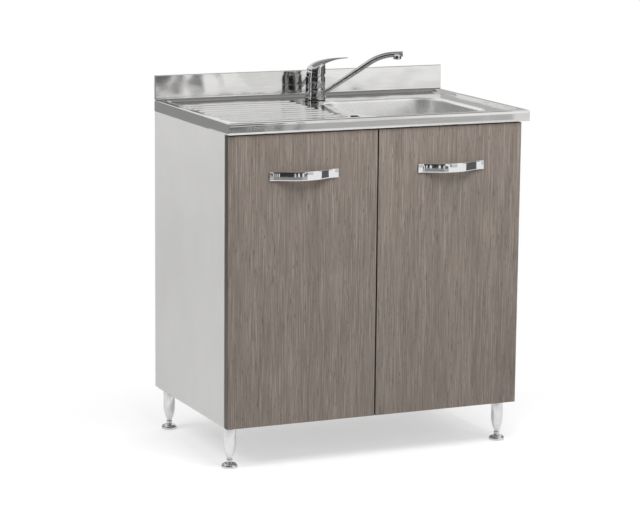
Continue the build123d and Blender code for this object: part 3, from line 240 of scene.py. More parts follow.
class HandleSizes(bpy.types.PropertyGroup):
    """The bow handles."""

    half: length(0.090, "Half the handle's length")
    tab: length(0.083, "Where the flat end tabs begin, from the middle")
    bow: length(0.029, "Half the length of the nearly flat bow")
    reach: length(0.028, "How far the bow stands off the door")
    sag: length(0.0037, "Crown of the bow along the handle")
    lean: number(0.35, "Slope of the strap where the bow ends")
    crown: length(0.0002, "Crown of the strap's face across its height")
    thick: length(0.004, "Thickness of the strap")
    height: length(0.022, "Height of the strap")
    edge: length(0.0013, "Rounding of the strap's edges")


class LegSizes(bpy.types.PropertyGroup):
    """The turned legs and levelling feet."""

    radius: length(0.015, "Radius of the leg's upper part")
    neck: length(0.0065, "Radius of the leg's lower end")
    taper: length(0.060, "Height where the taper begins")
    flange: length(0.003, "Thickness of the flange under the board")
    foot: length(0.020, "Radius of the foot")
    dome: length(0.0125, "Height of the foot's domed top")
    rim: length(0.003, "Height of the foot's rim")
    collar: length(0.004, "Height of the foot's collar")
    foot_height: length(0.022, "Height of the foot without its stem")
    stem: length(0.004, "Radius of the foot's stem")
    clear: length(0.0002, "Gap between the stem and the leg's bore")
    corner: length(0.004, "Corner radius of the flange")
    ease: length(0.0006, "Easing of the flange's edge")


class FinishColours(bpy.types.PropertyGroup):
    """Colours of the finishes."""

    steel: colour((0.66, 0.655, 0.645), "Brushed stainless steel")
    chrome: colour((0.78, 0.78, 0.785), "Polished chrome")
    board: colour((0.74, 0.735, 0.72), "Off-white melamine")
    wood_dark: colour((0.090, 0.072, 0.059), "Dark streaks of the doors' grain")
    wood_mid: colour((0.212, 0.177, 0.151), "Ground colour of the doors")
    wood_light: colour((0.38, 0.328, 0.285), "Light streaks of the doors' grain")
    edge: colour((0.062, 0.052, 0.044), "Dark edge band of the doors")
    chip: colour((0.42, 0.29, 0.17), "Raw chipboard")
    zinc: colour((0.55, 0.56, 0.58), "Zinc plate")
    silver: colour((0.66, 0.66, 0.665), "Satin silver of the legs")
    plastic: colour((0.72, 0.72, 0.71), "Moulded waste fittings")
    rubber: colour((0.03, 0.03, 0.03), "Seals and bumpers")
    brass: colour((0.62, 0.42, 0.16), "Stud and clamp nut")


class StageSettings(bpy.types.PropertyGroup):
    """The camera, the light all round and the floor."""

    place: point((-2.5895, -5.6593, 1.6009), "Place of the camera")
    yaw: number(0.4209, "Turn of the camera to the right of +Y, in radians")
    pitch: number(-0.1842, "Upward tilt of the camera, in radians")
    roll: number(0.0098, "Turn of the camera about its line of sight, in radians")
    lens: number(141.52, "Focal length on a film 36 mm wide")
    fill: amount(0.36, "Strength of the all-round light on matt surfaces")
    floor_lift: amount(0.485, "How much the floor is lifted towards white")
    floor_grey: colour((0.58, 0.58, 0.58), "Matt colour of the floor")
    floor_reach: length(30.0, "Half the width of the floor")
    near_middle: point((-0.05, -0.3, 0.0), "Middle of the floor's shaded part")
    near_end: length(0.6, "Where the shaded part begins to turn white")
    far_start: length(1.1, "Where the floor is white")


# Mesh building


def grid_quads(rows, columns, round_columns=False):
    """The quads between neighbouring points of a grid stored row by row, closed across if asked."""
    row = np.arange(rows - 1)
    column = np.arange(columns if round_columns else columns - 1)
    row, column = np.meshgrid(row, column, indexing="ij")
    nearer = row * columns
    further = nearer + columns
    after = (column + 1) % columns
    quads = np.stack([nearer + column, nearer + after, further + after, further + column], axis=-1)
    return quads.reshape(-1, 4)


def add_piece(name, points, faces, sharp=math.radians(35)):
    """A mesh object from arrays, with doubles merged, faces turned outwards and round faces shaded smooth."""
    mesh = bpy.data.meshes.new(name)
    mesh.from_pydata(points.reshape(-1, 3).tolist(), [], faces)
    shape = bmesh.new()
    shape.from_mesh(mesh)
    bmesh.ops.remove_doubles(shape, verts=shape.verts, dist=MERGE)
    bmesh.ops.dissolve_degenerate(shape, edges=shape.edges, dist=MERGE)
    bmesh.ops.recalc_face_normals(shape, faces=shape.faces)
    shape.to_mesh(mesh)
    shape.free()
    return show(name, mesh, sharp)


def add_sections(name, points, sharp=math.radians(40)):
    """A closed piece from equal rings of points: quads between neighbours and a face over each end."""
    rings, count = points.shape[:2]
    last = (rings - 1) * count
    faces = grid_quads(rings, count, True).tolist()
    faces += [list(range(count)), list(range(last + count - 1, last - 1, -1))]
    return add_piece(name, points, faces, sharp)


def show(name, mesh, sharp):
    """Links a mesh as an object at the origin and shades it smooth except over sharp edges."""
    mesh.polygons.foreach_set("use_smooth", np.ones(len(mesh.polygons), dtype=bool))
    mesh.set_sharp_from_angle(angle=sharp)
    piece = bpy.data.objects.new(name, mesh)
    bpy.context.scene.collection.objects.link(piece)
    return piece


def settle(piece, body, slot, *nodes, finish=None):
    """Gives a piece its slot's finish, or another, puts it on its body and lets it stand for CAD nodes."""
    piece.data.materials.clear()
    piece.data.materials.append(finish_for(finish or slot))
    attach(piece, body)
    if nodes:
        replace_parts(piece, *nodes)


def values_of(items, key, width=1, kind=float):
    """A value, or a row of them, for each of a mesh's points, edges, corners or faces, as an array."""
    values = np.zeros(len(items) * width, dtype=kind)
    items.foreach_get(key, values)
    return values.reshape(-1, width) if width > 1 else values


def arc(centre, radius, start, end, count):
    """Points of a circular arc: centre plus radius times cosine and sine of evenly spaced angles."""
    turn = np.radians(np.linspace(start, end, count))
    return np.stack([centre[0] + radius * np.cos(turn), centre[1] + radius * np.sin(turn)], axis=1)


def softened(corners, radius, count=5):
    """A polyline with rounded corners: a quadratic curve from a point before each corner to one after it."""
    corners = np.asarray(corners, dtype=float)
    middle = corners[1:-1]
    before = corners[:-2] - middle
    after = corners[2:] - middle
    before_length = np.linalg.norm(before, axis=1, keepdims=True)
    after_length = np.linalg.norm(after, axis=1, keepdims=True)
    cut = np.minimum(radius, 0.45 * np.minimum(before_length, after_length))
    first = middle + before / before_length * cut
    last = middle + after / after_length * cut
    t = np.linspace(0, 1, count)[None, :, None]
    curve = (1 - t) ** 2 * first[:, None] + 2 * t * (1 - t) * middle[:, None] + t**2 * last[:, None]
    return np.concatenate([corners[:1], curve.reshape(-1, 2), corners[-1:]])


def lathe(name, profile, centre, steps):
    """A turned piece: a profile of (radius, height) carried round the upright axis through the centre."""
    profile = np.asarray(profile, dtype=float)
    turn = np.linspace(0, 2 * np.pi, steps, endpoint=False)
    x = centre[0] + profile[:, :1] * np.cos(turn)
    y = centre[1] + profile[:, :1] * np.sin(turn)
    z = np.broadcast_to(profile[:, 1:], x.shape)
    points = np.stack([x, y, z], axis=-1)
    return add_piece(name, points, grid_quads(len(profile), steps, True).tolist())


def smooth_step(value):
    """0 below 0, 1 above 1, and three times the square less twice the cube between."""
    value = np.clip(value, 0, 1)
    return value * value * (3 - 2 * value)


def hermite(t, start, end, start_slope, end_slope):
    """The cubic from start to end over 0 to 1 with given slopes at its ends."""
    return (
        (2 * t**3 - 3 * t**2 + 1) * start
        + (t**3 - 2 * t**2 + t) * start_slope
        + (-2 * t**3 + 3 * t**2) * end
        + (t**3 - t**2) * end_slope
    )


def rounded_box_distance(x, y, centre, half, corner):
    """Distance to a rounded rectangle: outside positive, inside negative."""
    over_x = np.abs(x - centre[0]) - (half[0] - corner)
    over_y = np.abs(y - centre[1]) - (half[1] - corner)
    outside = np.hypot(np.maximum(over_x, 0), np.maximum(over_y, 0))
    return outside + np.minimum(np.maximum(over_x, over_y), 0) - corner


def add_solidify(piece, thickness):
    """A wall behind the faces, away from the side that they point to."""
    wall = piece.modifiers.new("Wall", "SOLIDIFY")
    wall.thickness = thickness
    wall.offset = -1
    wall.use_rim = True


def cad_copy(name, node, flat=False):
    """A merged copy of a CAD node, with flat faces joined if asked, shaded smooth except over sharp edges."""
    shape = bmesh.new()
    shape.from_mesh(frame["nodes"][node].data)
    bmesh.ops.remove_doubles(shape, verts=shape.verts, dist=MERGE)
    if flat:
        bmesh.ops.dissolve_limit(shape, angle_limit=math.radians(1), verts=shape.verts, edges=shape.edges)
    mesh = bpy.data.meshes.new(name)
    shape.to_mesh(mesh)
    shape.free()
    return show(name, mesh, math.radians(30))


def ease_long_edges(piece, width, shortest):
    """A bevel on the long square edges only, so that drillings keep their shape.

    An edge is square if two faces meet there and their normals are more than 60 degrees apart.
    """
    mesh = piece.data
    points = values_of(mesh.vertices, "co", 3)
    ends = values_of(mesh.edges, "vertices", 2, np.int32)
    long = np.linalg.norm(points[ends[:, 0]] - points[ends[:, 1]], axis=1) > shortest
    edge_at = values_of(mesh.loops, "edge_index", 1, np.int32)
    face_at = np.repeat(np.arange(len(mesh.polygons)), values_of(mesh.polygons, "loop_total", 1, np.int32))
    faces = face_at[np.argsort(edge_at, kind="stable")]
    count = np.bincount(edge_at, minlength=len(ends))
    shared = count == 2
    first = (np.cumsum(count) - count)[shared]
    normals = values_of(mesh.polygons, "normal", 3)
    square = np.zeros(len(ends), dtype=bool)
    between = (normals[faces[first]] * normals[faces[first + 1]]).sum(axis=1)
    square[shared] = between < math.cos(math.radians(60))
    weights = mesh.attributes.new("bevel_weight_edge", "FLOAT", "EDGE")
    weights.data.foreach_set("value", (square & long).astype(np.float32))
    bevel = piece.modifiers.new("Eased edges", "BEVEL")
    bevel.width = width
    bevel.segments = 3
    bevel.limit_method = "WEIGHT"
    bevel.harden_normals = True


# Node trees and finishes


class Nodes:
    """A node tree, with short ways to add and join nodes."""

    def __init__(self, owner, bare=False):
        owner.use_nodes = True
        self.tree = owner.node_tree
        if bare:
            self.tree.nodes.clear()

    def put(self, value, socket):
        """Links an output to a node's input, or sets a constant there."""
        if isinstance(value, bpy.types.NodeSocket):
            self.tree.links.new(value, socket)
        else:
            socket.default_value = value

    def add(self, kind, *first, operation=None, **named):
        """A new node, with values for its first inputs in order and for others by name."""
        node = self.tree.nodes.new(kind)
        if operation:
            node.operation = operation
        for value, socket in zip(first, node.inputs):
            self.put(value, socket)
        for key, value in named.items():
            self.put(value, node.inputs[key.replace("_", " ")])
        return node

    def math(self, operation, first, second):
        """Two values joined by an operation."""
        return self.add("ShaderNodeMath", first, second, operation=operation).outputs["Value"]


class Surface(Nodes):
    """A material's tree round its principled shader, with textures on object coordinates."""

    def __init__(self, name):
        self.material = bpy.data.materials.new(name)
        super().__init__(self.material)
        self.where = self.add("ShaderNodeTexCoord").outputs["Object"]

    def stretched(self, scale):
        """Object coordinates scaled by a different amount along each axis."""
        return self.add("ShaderNodeMapping", Vector=self.where, Scale=scale).outputs["Vector"]

    def noise(self, vector, scale, detail=4.0, roughness=0.55):
        """Soft noise between 0 and 1."""
        node = self.add("ShaderNodeTexNoise", Vector=vector, Scale=scale, Detail=detail, Roughness=roughness)
        return node.outputs["Fac"]

    def cells(self, vector, scale, channel):
        """One channel of the random colours of small cells."""
        colours = self.add("ShaderNodeTexVoronoi", Vector=vector, Scale=scale).outputs["Color"]
        return self.add("ShaderNodeSeparateColor", Color=colours).outputs[channel]

    def ramp(self, value, stops):
        """A colour ramp from (place, colour) stops."""
        node = self.add("ShaderNodeValToRGB", Fac=value)
        elements = node.color_ramp.elements
        while len(elements) < len(stops):
            elements.new(0.5)
        for element, (place, tone) in zip(elements, stops):
            element.position = place
            element.color = (*tone, 1.0)
        return node.outputs["Color"]

    def spread(self, value, low, high, from_low=0.0, from_high=1.0):
        """A value's range mapped on to another range and held inside it."""
        node = self.add(
            "ShaderNodeMapRange", Value=value, From_Min=from_low, From_Max=from_high, To_Min=low, To_Max=high
        )
        return node.outputs["Result"]

    def mix(self, factor, first, second):
        """A share of two colours, each given as numbers or as an output."""
        node = self.add("ShaderNodeMix", factor)
        node.data_type = "RGBA"
        for value, socket in ((first, node.inputs[6]), (second, node.inputs[7])):
            self.put((*value, 1.0) if isinstance(value, tuple) else value, socket)
        return node.outputs[2]

    def bump(self, height, strength, distance, **under):
        """A normal tilted by the slope of a height, over another normal if given."""
        node = self.add("ShaderNodeBump", Height=height, Strength=strength, Distance=distance, **under)
        return node.outputs["Normal"]

    def finish(self, **inputs):
        """The material, once its shader has these inputs."""
        shader = self.tree.nodes["Principled BSDF"]
        for key, value in inputs.items():
            self.put(value, shader.inputs[key.replace("_", " ")])
        return self.material


def shade(tone, factor):
    """A colour made darker or lighter, up to full white."""
    return tuple(min(1.0, factor * channel) for channel in tone)


def brushed_steel(name, base, along, rough=(0.05, 0.11)):
    """Satin sheet: fine brush marks along one axis, faint clouds, and the slow waves of thin sheet metal."""
    n = Surface(name)
    marks = n.noise(n.stretched(along), 1.0, 6.0, 0.65)
    clouds = n.noise(n.where, 9.0, 3.0)
    waves = n.noise(n.where, 6.0, 2.0)
    tone = n.mix(n.spread(marks, 0.0, 1.0, 0.3, 0.7), shade(base, 0.9), shade(base, 1.08))
    return n.finish(
        Base_Color=n.mix(n.spread(clouds, 0.0, 0.3, 0.35, 0.7), tone, shade(base, 0.9)),
        Metallic=1.0,
        Roughness=n.spread(marks, *rough, 0.3, 0.7),
        Normal=n.bump(marks, 0.06, 0.0003, Normal=n.bump(waves, 1.0, 0.003)),
    )


def polished(name, base, rough=(0.03, 0.09)):
    """Bright plating with faint wiping marks that only show in its gloss."""
    n = Surface(name)
    wipes = n.noise(n.stretched((60.0, 60.0, 90.0)), 1.0, 4.0)
    haze = n.noise(n.where, 25.0, 3.0)
    tone = n.mix(n.spread(haze, 0.0, 1.0, 0.35, 0.7), base, shade(base, 0.95))
    return n.finish(Base_Color=tone, Metallic=1.0, Roughness=n.spread(wipes, *rough, 0.3, 0.7))


def melamine(name, base):
    """Off-white board: faint mottling and a fine pebbled face."""
    n = Surface(name)
    mottle = n.noise(n.where, 6.0, 4.0)
    pebble = n.noise(n.where, 900.0, 2.0)
    return n.finish(
        Base_Color=n.mix(n.spread(mottle, 0.0, 1.0, 0.35, 0.65), shade(base, 0.97), shade(base, 1.02)),
        Roughness=n.spread(pebble, 0.36, 0.5, 0.3, 0.7),
        Normal=n.bump(pebble, 0.12, 0.0002),
    )


def door_wood(name, base):
    """Greige grain upright: broad bands, fine streaks and short dark pores, all stretched along Z."""
    n = Surface(name)
    look = bpy.context.scene.sink_colours
    warp = n.noise(n.stretched((9.0, 9.0, 2.2)), 1.0, 3.0)
    push = n.add("ShaderNodeCombineXYZ", X=n.spread(warp, -0.0009, 0.0009)).outputs["Vector"]
    grain = n.add("ShaderNodeVectorMath", n.where, push, operation="ADD").outputs["Vector"]

    def along(across, up, detail, rough):
        place = n.add("ShaderNodeMapping", Vector=grain, Scale=(across, across, up)).outputs["Vector"]
        return n.noise(place, 1.0, detail, rough)

    bands = along(40.0, 2.6, 3.0, 0.5)
    streaks = along(430.0, 10.0, 3.0, 0.6)
    lines = along(360.0, 7.0, 3.0, 0.65)
    pores = along(560.0, 40.0, 2.0, 0.5)
    tone = n.mix(n.spread(bands, 0.0, 1.0, 0.36, 0.64), shade(base, 0.9), shade(base, 1.1))
    tone = n.mix(n.spread(streaks, 0.0, 0.75, 0.5, 0.72), tone, tuple(look.wood_light))
    tone = n.mix(n.spread(lines, 0.0, 0.7, 0.52, 0.7), tone, tuple(look.wood_dark))
    pits = n.spread(pores, 0.0, 0.8, 0.62, 0.72)
    relief = n.math("SUBTRACT", n.math("MULTIPLY", streaks, 0.6), n.math("MULTIPLY", pits, 0.5))
    return n.finish(
        Base_Color=n.mix(pits, tone, shade(look.wood_dark, 0.75)),
        Roughness=n.spread(lines, 0.42, 0.6, 0.3, 0.7),
        Normal=n.bump(relief, 0.35, 0.0004),
    )


def edge_band(name, base):
    """The doors' dark edge: one colour broken by faint lengthwise streaks."""
    n = Surface(name)
    streaks = n.noise(n.stretched((60.0, 400.0, 6.0)), 1.0, 4.0)
    return n.finish(
        Base_Color=n.mix(n.spread(streaks, 0.0, 1.0, 0.3, 0.7), shade(base, 0.75), shade(base, 1.35)),
        Roughness=n.spread(streaks, 0.4, 0.55),
        Normal=n.bump(streaks, 0.15, 0.0002),
    )


def chipboard(name, base):
    """Pressed wood chips: small cells of different browns."""
    n = Surface(name)
    chips = n.cells(n.stretched((300.0, 420.0, 500.0)), 1.0, "Red")
    tone = n.ramp(chips, [(0.0, shade(base, 0.55)), (0.5, base), (1.0, shade(base, 1.45))])
    return n.finish(Base_Color=tone, Roughness=0.85, Normal=n.bump(chips, 0.4, 0.0005))


def plated(name, base):
    """Zinc plate: fine spangle and uneven gloss."""
    n = Surface(name)
    spangle = n.cells(n.where, 420.0, "Green")
    haze = n.noise(n.where, 130.0, 4.0)
    tone = n.mix(n.spread(spangle, 0.0, 0.5), base, shade(base, 0.82))
    return n.finish(Base_Color=tone, Metallic=1.0, Roughness=n.spread(haze, 0.24, 0.42, 0.3, 0.7))


def satin_metal(name, base, rough):
    """Turned satin metal: very fine rings along its height."""
    n = Surface(name)
    rings = n.noise(n.stretched((20.0, 20.0, 1600.0)), 1.0, 3.0)
    haze = n.noise(n.where, 60.0, 3.0)
    return n.finish(
        Base_Color=n.mix(n.spread(haze, 0.0, 1.0, 0.35, 0.65), shade(base, 0.96), shade(base, 1.03)),
        Metallic=1.0,
        Roughness=n.spread(rings, *rough, 0.3, 0.7),
        Normal=n.bump(rings, 0.05, 0.0002),
    )


def moulded(name, base, rough=(0.38, 0.52)):
    """Moulded plastic or rubber: faint flow marks and a fine grain."""
    n = Surface(name)
    flow = n.noise(n.where, 30.0, 3.0)
    grain = n.noise(n.where, 1400.0, 2.0)
    return n.finish(
        Base_Color=n.mix(n.spread(flow, 0.0, 1.0, 0.35, 0.65), shade(base, 0.94), shade(base, 1.04)),
        Roughness=n.spread(grain, *rough, 0.3, 0.7),
        Normal=n.bump(grain, 0.1, 0.0002),
    )


# How each slot's finish is made: function, material's name, colour, how much lighter, and what else it needs.
FINISHES = {
    "sink_steel": (brushed_steel, "Brushed stainless", "steel", 1.0, (14.0, 900.0, 900.0)),
    # Painted light: the bowl's steel is made much lighter than the deck's to stand in for the overhead lamp
    # light on its satin walls, which the lamps do not give in gloss.
    "bowl_steel_painted_light": (brushed_steel, "Drawn stainless", "steel", 1.45, (120.0, 120.0, 160.0), (0.32, 0.42)),
    "white_board": (melamine, "White melamine", "board", 1.0),
    "back_board": (melamine, "Back board foil", "board", 0.95),
    "door_board": (door_wood, "Greige wood grain", "wood_mid", 1.0),
    "door_edge": (edge_band, "Door edge band", "edge", 1.0),
    "chipboard": (chipboard, "Raw chipboard", "chip", 1.0),
    "cam_zinc": (plated, "Cast zinc", "zinc", 0.9),
    "zinc_steel": (plated, "Zinc plate", "zinc", 1.0),
    "leg_silver": (satin_metal, "Satin silver", "silver", 1.0, (0.14, 0.22)),
    # Painted shade: the feet's chrome is made darker than the handles' chrome to stand in for the darker
    # floor and surroundings that they mirror.
    "foot_chrome": (polished, "Foot chrome", "chrome", 0.85, (0.22, 0.32)),
    "handle_chrome": (polished, "Handle chrome", "chrome", 1.0),
    # Painted shade: the tap's chrome is made darker than the handles' chrome to stand in for the dark
    # surroundings that it mirrors.
    "tap_chrome": (polished, "Tap chrome", "chrome", 0.78),
    "waste_steel": (satin_metal, "Waste steel", "steel", 1.0, (0.2, 0.3)),
    "pipe_plastic": (moulded, "White plastic", "plastic", 1.0),
    "seal_rubber": (moulded, "Black rubber", "rubber", 1.0, (0.6, 0.8)),
    "stud_brass": (satin_metal, "Turned brass", "brass", 1.0, (0.2, 0.34)),
}
FINISHED = {}


def finish_for(slot):
    """The finish of a material slot, made on first use."""
    if slot not in FINISHED:
        maker, name, tint, factor, *rest = FINISHES[slot]
        base = shade(getattr(bpy.context.scene.sink_colours, tint), factor)
        FINISHED[slot] = maker(name, base, *rest)
    return FINISHED[slot]


# Sink top


def deck_samples(top):
    """Places of the deck's grid lines along X and Y, close together over bends, ribs, slot and holes."""
    left, front = DECK_LOW[:2]
    right, back = DECK_HIGH[:2]
    bend = top.bend * (1 - np.cos(np.linspace(0, np.pi / 2, 7)))
    slope = top.rim + top.tray_slope * np.linspace(-0.15, 1.15, 9)
    margin = 0.004
    corner = np.linspace(top.rim, top.rim + top.tray_corner + margin, 10)
    edge = np.concatenate([bend, slope, corner])
    bowl = np.linspace(BOWL_LOW - margin, BOWL_HIGH + margin, 84)
    tap = np.linspace(TAP_AXIS - 1.1 * top.tap_hole, TAP_AXIS + 1.1 * top.tap_hole, 9)
    rib_end = BOWL_LOW[0] - top.rib_right
    slot_x = BOWL_LOW[0] - top.slot_gap
    slot_y = front + top.slot_front
    slot_reach = top.slot_half + 0.002
    x = [
        left + edge,
        right - edge,
        left + top.rib_left + np.linspace(-0.001, 2 * top.rib_half, 8),
        rib_end + np.linspace(-2 * top.rib_half, 0.001, 8),
        np.linspace(left + top.rib_left, rib_end, 22),
        bowl[:, 0],
        slot_x + np.linspace(-slot_reach, slot_reach, 18),
        tap[:, 0],
    ]
    ribs = front + top.rib_first + top.rib_pitch * np.arange(top.rib_count)
    y = [
        front + edge,
        UPSTAND_LOW[1] + top.rim / 2 - slope,
        back - np.array([0.0, 0.005, 0.010]),
        (ribs[:, None] + top.rib_half * np.linspace(-1.05, 1.05, 9)).ravel(),
        bowl[:, 1],
        slot_y + np.linspace(-1, 1, 9) * (top.slot_radius + 0.001),
        slot_y + top.slot_radius + np.linspace(0.002, 0.020, 10),
        tap[:, 1],
    ]
    x = np.unique(np.round(np.concatenate(x), 5))
    y = np.unique(np.round(np.concatenate(y), 5))
    return thinned(x[(x >= left) & (x <= right)]), thinned(y[(y >= front) & (y <= back)])


def thinned(values):
    """Drops samples that lie too close to the one before, but keeps both ends."""
    keep = np.diff(values, prepend=values[0] - 1) > CLOSEST_LINES
    keep[-1] = True
    keep[-2] = values[-1] - values[-2] > CLOSEST_LINES
    return values[keep]


def deck_height(x, y, top):
    """Height of the sheet: its top less the edge bend and the tray, plus the ribs and the slot's hood.

    An edge bend is a quarter circle over the distance to the edge. The tray is a smooth step of the
    distance to a rounded rectangle. A rib is a smooth bump of the distance to a straight line. Behind the
    overflow slot the sheet is pressed up into a hood, full over the slot's length and falling off smoothly.
    """
    left, front = DECK_LOW[:2]
    right = DECK_HIGH[0]
    bend = top.bend
    away = np.minimum(np.minimum(x - left, right - x), y - front)
    short = np.clip(bend - away, 0, bend)
    edge_drop = bend - np.sqrt(np.maximum(bend**2 - short**2, 0))
    tray_back = UPSTAND_LOW[1] - top.rim / 2
    tray_front = front + top.rim
    centre = (0.0, (tray_back + tray_front) / 2)
    half = (right - top.rim, (tray_back - tray_front) / 2)
    inside = -rounded_box_distance(x, y, centre, half, top.tray_corner)
    tray = top.tray_depth * smooth_step(inside / top.tray_slope)
    rib_start = left + top.rib_left + top.rib_half
    rib_end = BOWL_LOW[0] - top.rib_right - top.rib_half
    past = np.maximum(np.maximum(rib_start - x, x - rib_end), 0)
    nearest = np.round((y - front - top.rib_first) / top.rib_pitch)
    nearest = np.clip(nearest, 0, top.rib_count - 1)
    beside = y - front - top.rib_first - nearest * top.rib_pitch
    rib = top.rib_height * smooth_step(1.0 - np.hypot(past, beside) / top.rib_half)
    along = np.abs(x - BOWL_LOW[0] + top.slot_gap)
    behind = y - front - top.slot_front
    hood = smooth_step((top.slot_half + 0.001 - along) / top.hood_side)
    hood = hood * smooth_step(behind / (0.6 * top.slot_radius))
    hood = top.slot_hood * hood * (1 - smooth_step((behind - top.slot_radius) / top.hood_back))
    return DECK_HIGH[2] - edge_drop - tray + rib + hood


def deck_holes(x, y, top, bowl):
    """Distance to the nearest hole in the deck: bowl, tap hole or overflow slot."""
    centre = (BOWL_LOW + BOWL_HIGH)[:2] / 2
    half = (BOWL_HIGH - BOWL_LOW)[:2] / 2
    bowl_hole = rounded_box_distance(x, y, centre, half, bowl.corner + bowl.lip)
    tap_hole = np.hypot(x - TAP_AXIS[0], y - TAP_AXIS[1]) - top.tap_hole
    slot_x = BOWL_LOW[0] - top.slot_gap
    slot_y = DECK_LOW[1] + top.slot_front
    run = top.slot_half - top.slot_radius
    slot = np.hypot(np.maximum(np.abs(x - slot_x) - run, 0), y - slot_y) - top.slot_radius
    return np.minimum(np.minimum(bowl_hole, tap_hole), slot)


def make_deck(top, bowl):
    """The deck as cloth over a box.

    Its grid lines run over the top and, in further samples that keep the edge's place, down the skirts.
    Points just inside a hole are moved on to its outline along the distance's slope.
    """
    x_top, y_top = deck_samples(top)
    steps = 4
    down = np.linspace(0, 1, steps + 1)[1:]
    x_line, y_line = np.pad(x_top, steps, mode="edge"), np.pad(y_top, steps, mode="edge")
    x_down = np.concatenate([down[::-1], np.zeros(len(x_top)), down])
    y_down = np.concatenate([down[::-1], np.zeros(len(y_top)), down])
    x, y = np.meshgrid(x_line, y_line, indexing="ij")
    hung = np.maximum(x_down[:, None], y_down[None, :])
    gap = deck_holes(x, y, top, bowl)
    step = 1e-6
    slope_x = (deck_holes(x + step, y, top, bowl) - gap) / step
    slope_y = (deck_holes(x, y + step, top, bowl) - gap) / step
    pull = np.where(gap < 0, -gap, 0.0)
    quads = grid_quads(len(x_line), len(y_line))
    corner_cell = ((x_down > 0)[:, None] & (y_down > 0)[None, :]).ravel()
    inside = (gap < 1e-7).ravel()
    keep = ~inside[quads].all(axis=1) & ~corner_cell[quads].any(axis=1)
    x = x + pull * slope_x
    y = y + pull * slope_y
    height = deck_height(x, y, top)
    z = height + hung * (DECK_LOW[2] - height)
    points = np.stack([x, y, z], axis=-1)
    used = np.unique(quads[keep])
    renumber = np.zeros(x.size, dtype=int)
    renumber[used] = np.arange(len(used))
    faces = renumber[quads[keep]].tolist()
    deck = add_piece("deck_sheet", points.reshape(-1, 3)[used], faces, math.radians(50))
    face_up(deck)
    add_solidify(deck, top.sheet)
    return deck


def face_up(piece):
    """Turns all faces over if more of their area looks down than up."""
    faces = piece.data.polygons
    if (values_of(faces, "normal", 3)[:, 2] * values_of(faces, "area")).sum() < 0:
        piece.data.flip_normals()


def make_upstand(top):
    """The upstand: a (y, z) profile with a cove at its foot and rounded top edges, carried along X."""
    front, low = UPSTAND_LOW[1:]
    back, high = UPSTAND_HIGH[1:]
    edge = top.upstand_edge
    profile = np.concatenate([
        arc((front - top.cove, low + top.cove), top.cove, -90, 0, 8),
        arc((front + edge, high - edge), edge, 180, 90, 6),
        arc((back - edge, high - edge), edge, 90, 0, 6),
        [[back, low]],
    ])
    x = np.array([UPSTAND_LOW[0], UPSTAND_HIGH[0]])
    points = np.empty((2, len(profile), 3))
    points[..., 0] = x[:, None]
    points[..., 1:] = profile
    return add_sections("upstand_sheet", points)


def rounded_outline(half, corner, per_corner, per_side):
    """A rounded rectangle as a core point and an outward direction for each sample.

    A point at any offset is its core point plus the corner radius and the offset times its direction.
    """
    quarter = np.linspace(0, np.pi / 2, per_corner)
    turns = np.concatenate([np.concatenate([quarter + i * np.pi / 2, np.full(per_side, (i + 1) * np.pi / 2)])
                            for i in range(4)])
    core = np.array([(1, 1), (-1, 1), (-1, -1), (1, -1)]) * (np.asarray(half) - corner)
    share = np.linspace(0, 1, per_side + 2)[1:-1, None]
    cores = np.concatenate([
        np.concatenate([np.repeat(core[i: i + 1], per_corner, axis=0),
                        core[i] + share * (core[(i + 1) % 4] - core[i])])
        for i in range(4)
    ])
    return cores, np.stack([np.cos(turns), np.sin(turns)], axis=1)


def make_bowl(top, bowl):
    """The bowl: a profile of (offset, height) carried round a rounded rectangle, then drawn in to the drain.

    Offsets are measured outwards from the opening. The floor runs in a straight share from the last offset
    outline to the drain's circle and falls a little on the way.
    """
    centre = (BOWL_LOW + BOWL_HIGH)[:2] / 2
    half = (BOWL_HIGH - BOWL_LOW)[:2] / 2 - bowl.lip
    floor = float(BOWL_LOW[2]) + top.sheet
    bend = bowl.lip_bend
    turn = bowl.floor_bend
    skin = 0.00012
    lip = [(bowl.lip + bowl.lap, PLATE + skin), (bowl.lip, PLATE + skin)]
    wall_top = arc((bend, PLATE + skin - bend), bend, 90, 176, 10)
    foot_x = -bowl.draft
    wall_foot = arc((foot_x - turn + 0.0008, floor + turn + 0.0012), turn, -4, -88, 10)
    profile = np.concatenate([lip, wall_top, wall_foot])
    cores, ways = rounded_outline(half, bowl.corner, 16, 10)
    rings = cores[None] + (bowl.corner + profile[:, :1, None]) * ways[None]
    heights = np.broadcast_to(profile[:, 1:], rings.shape[:2])
    last = rings[-1]
    drain = last / np.linalg.norm(last, axis=1, keepdims=True) * bowl.drain
    share = np.linspace(0, 1, 14)[1:, None, None]
    floor_rings = last + share * (drain - last)
    fall = profile[-1, 1] + (floor - profile[-1, 1]) * smooth_step(share[..., 0] * 1.6)
    floor_heights = np.broadcast_to(fall, floor_rings.shape[:2])
    flat = np.concatenate([rings, floor_rings])
    z = np.concatenate([heights, floor_heights])
    points = np.concatenate([flat + centre, z[..., None]], axis=-1)
    faces = grid_quads(len(points), len(ways), True).tolist()
    piece = add_piece("bowl_sheet", points, faces, math.radians(60))
    face_up(piece)
    add_solidify(piece, top.sheet)
    return piece


class SINK_OT_top(bpy.types.Operator):
    """Make the stainless deck, bowl and upstand"""

    bl_idname = "sink_unit.top"
    bl_label = "Sink top"

    def execute(self, context):
        top = context.scene.sink_top
        bowl = context.scene.sink_bowl
        settle(make_deck(top, bowl), "cabinet", "sink_steel", "sink_deck")
        settle(make_upstand(top), "cabinet", "sink_steel", "sink_upstand")
        # The bowl takes the lighter steel, whose extra brightness is painted light.
        settle(make_bowl(top, bowl), "cabinet", "sink_steel", "sink_bowl", finish="bowl_steel_painted_light")
        return {"FINISHED"}


# Boards and doors


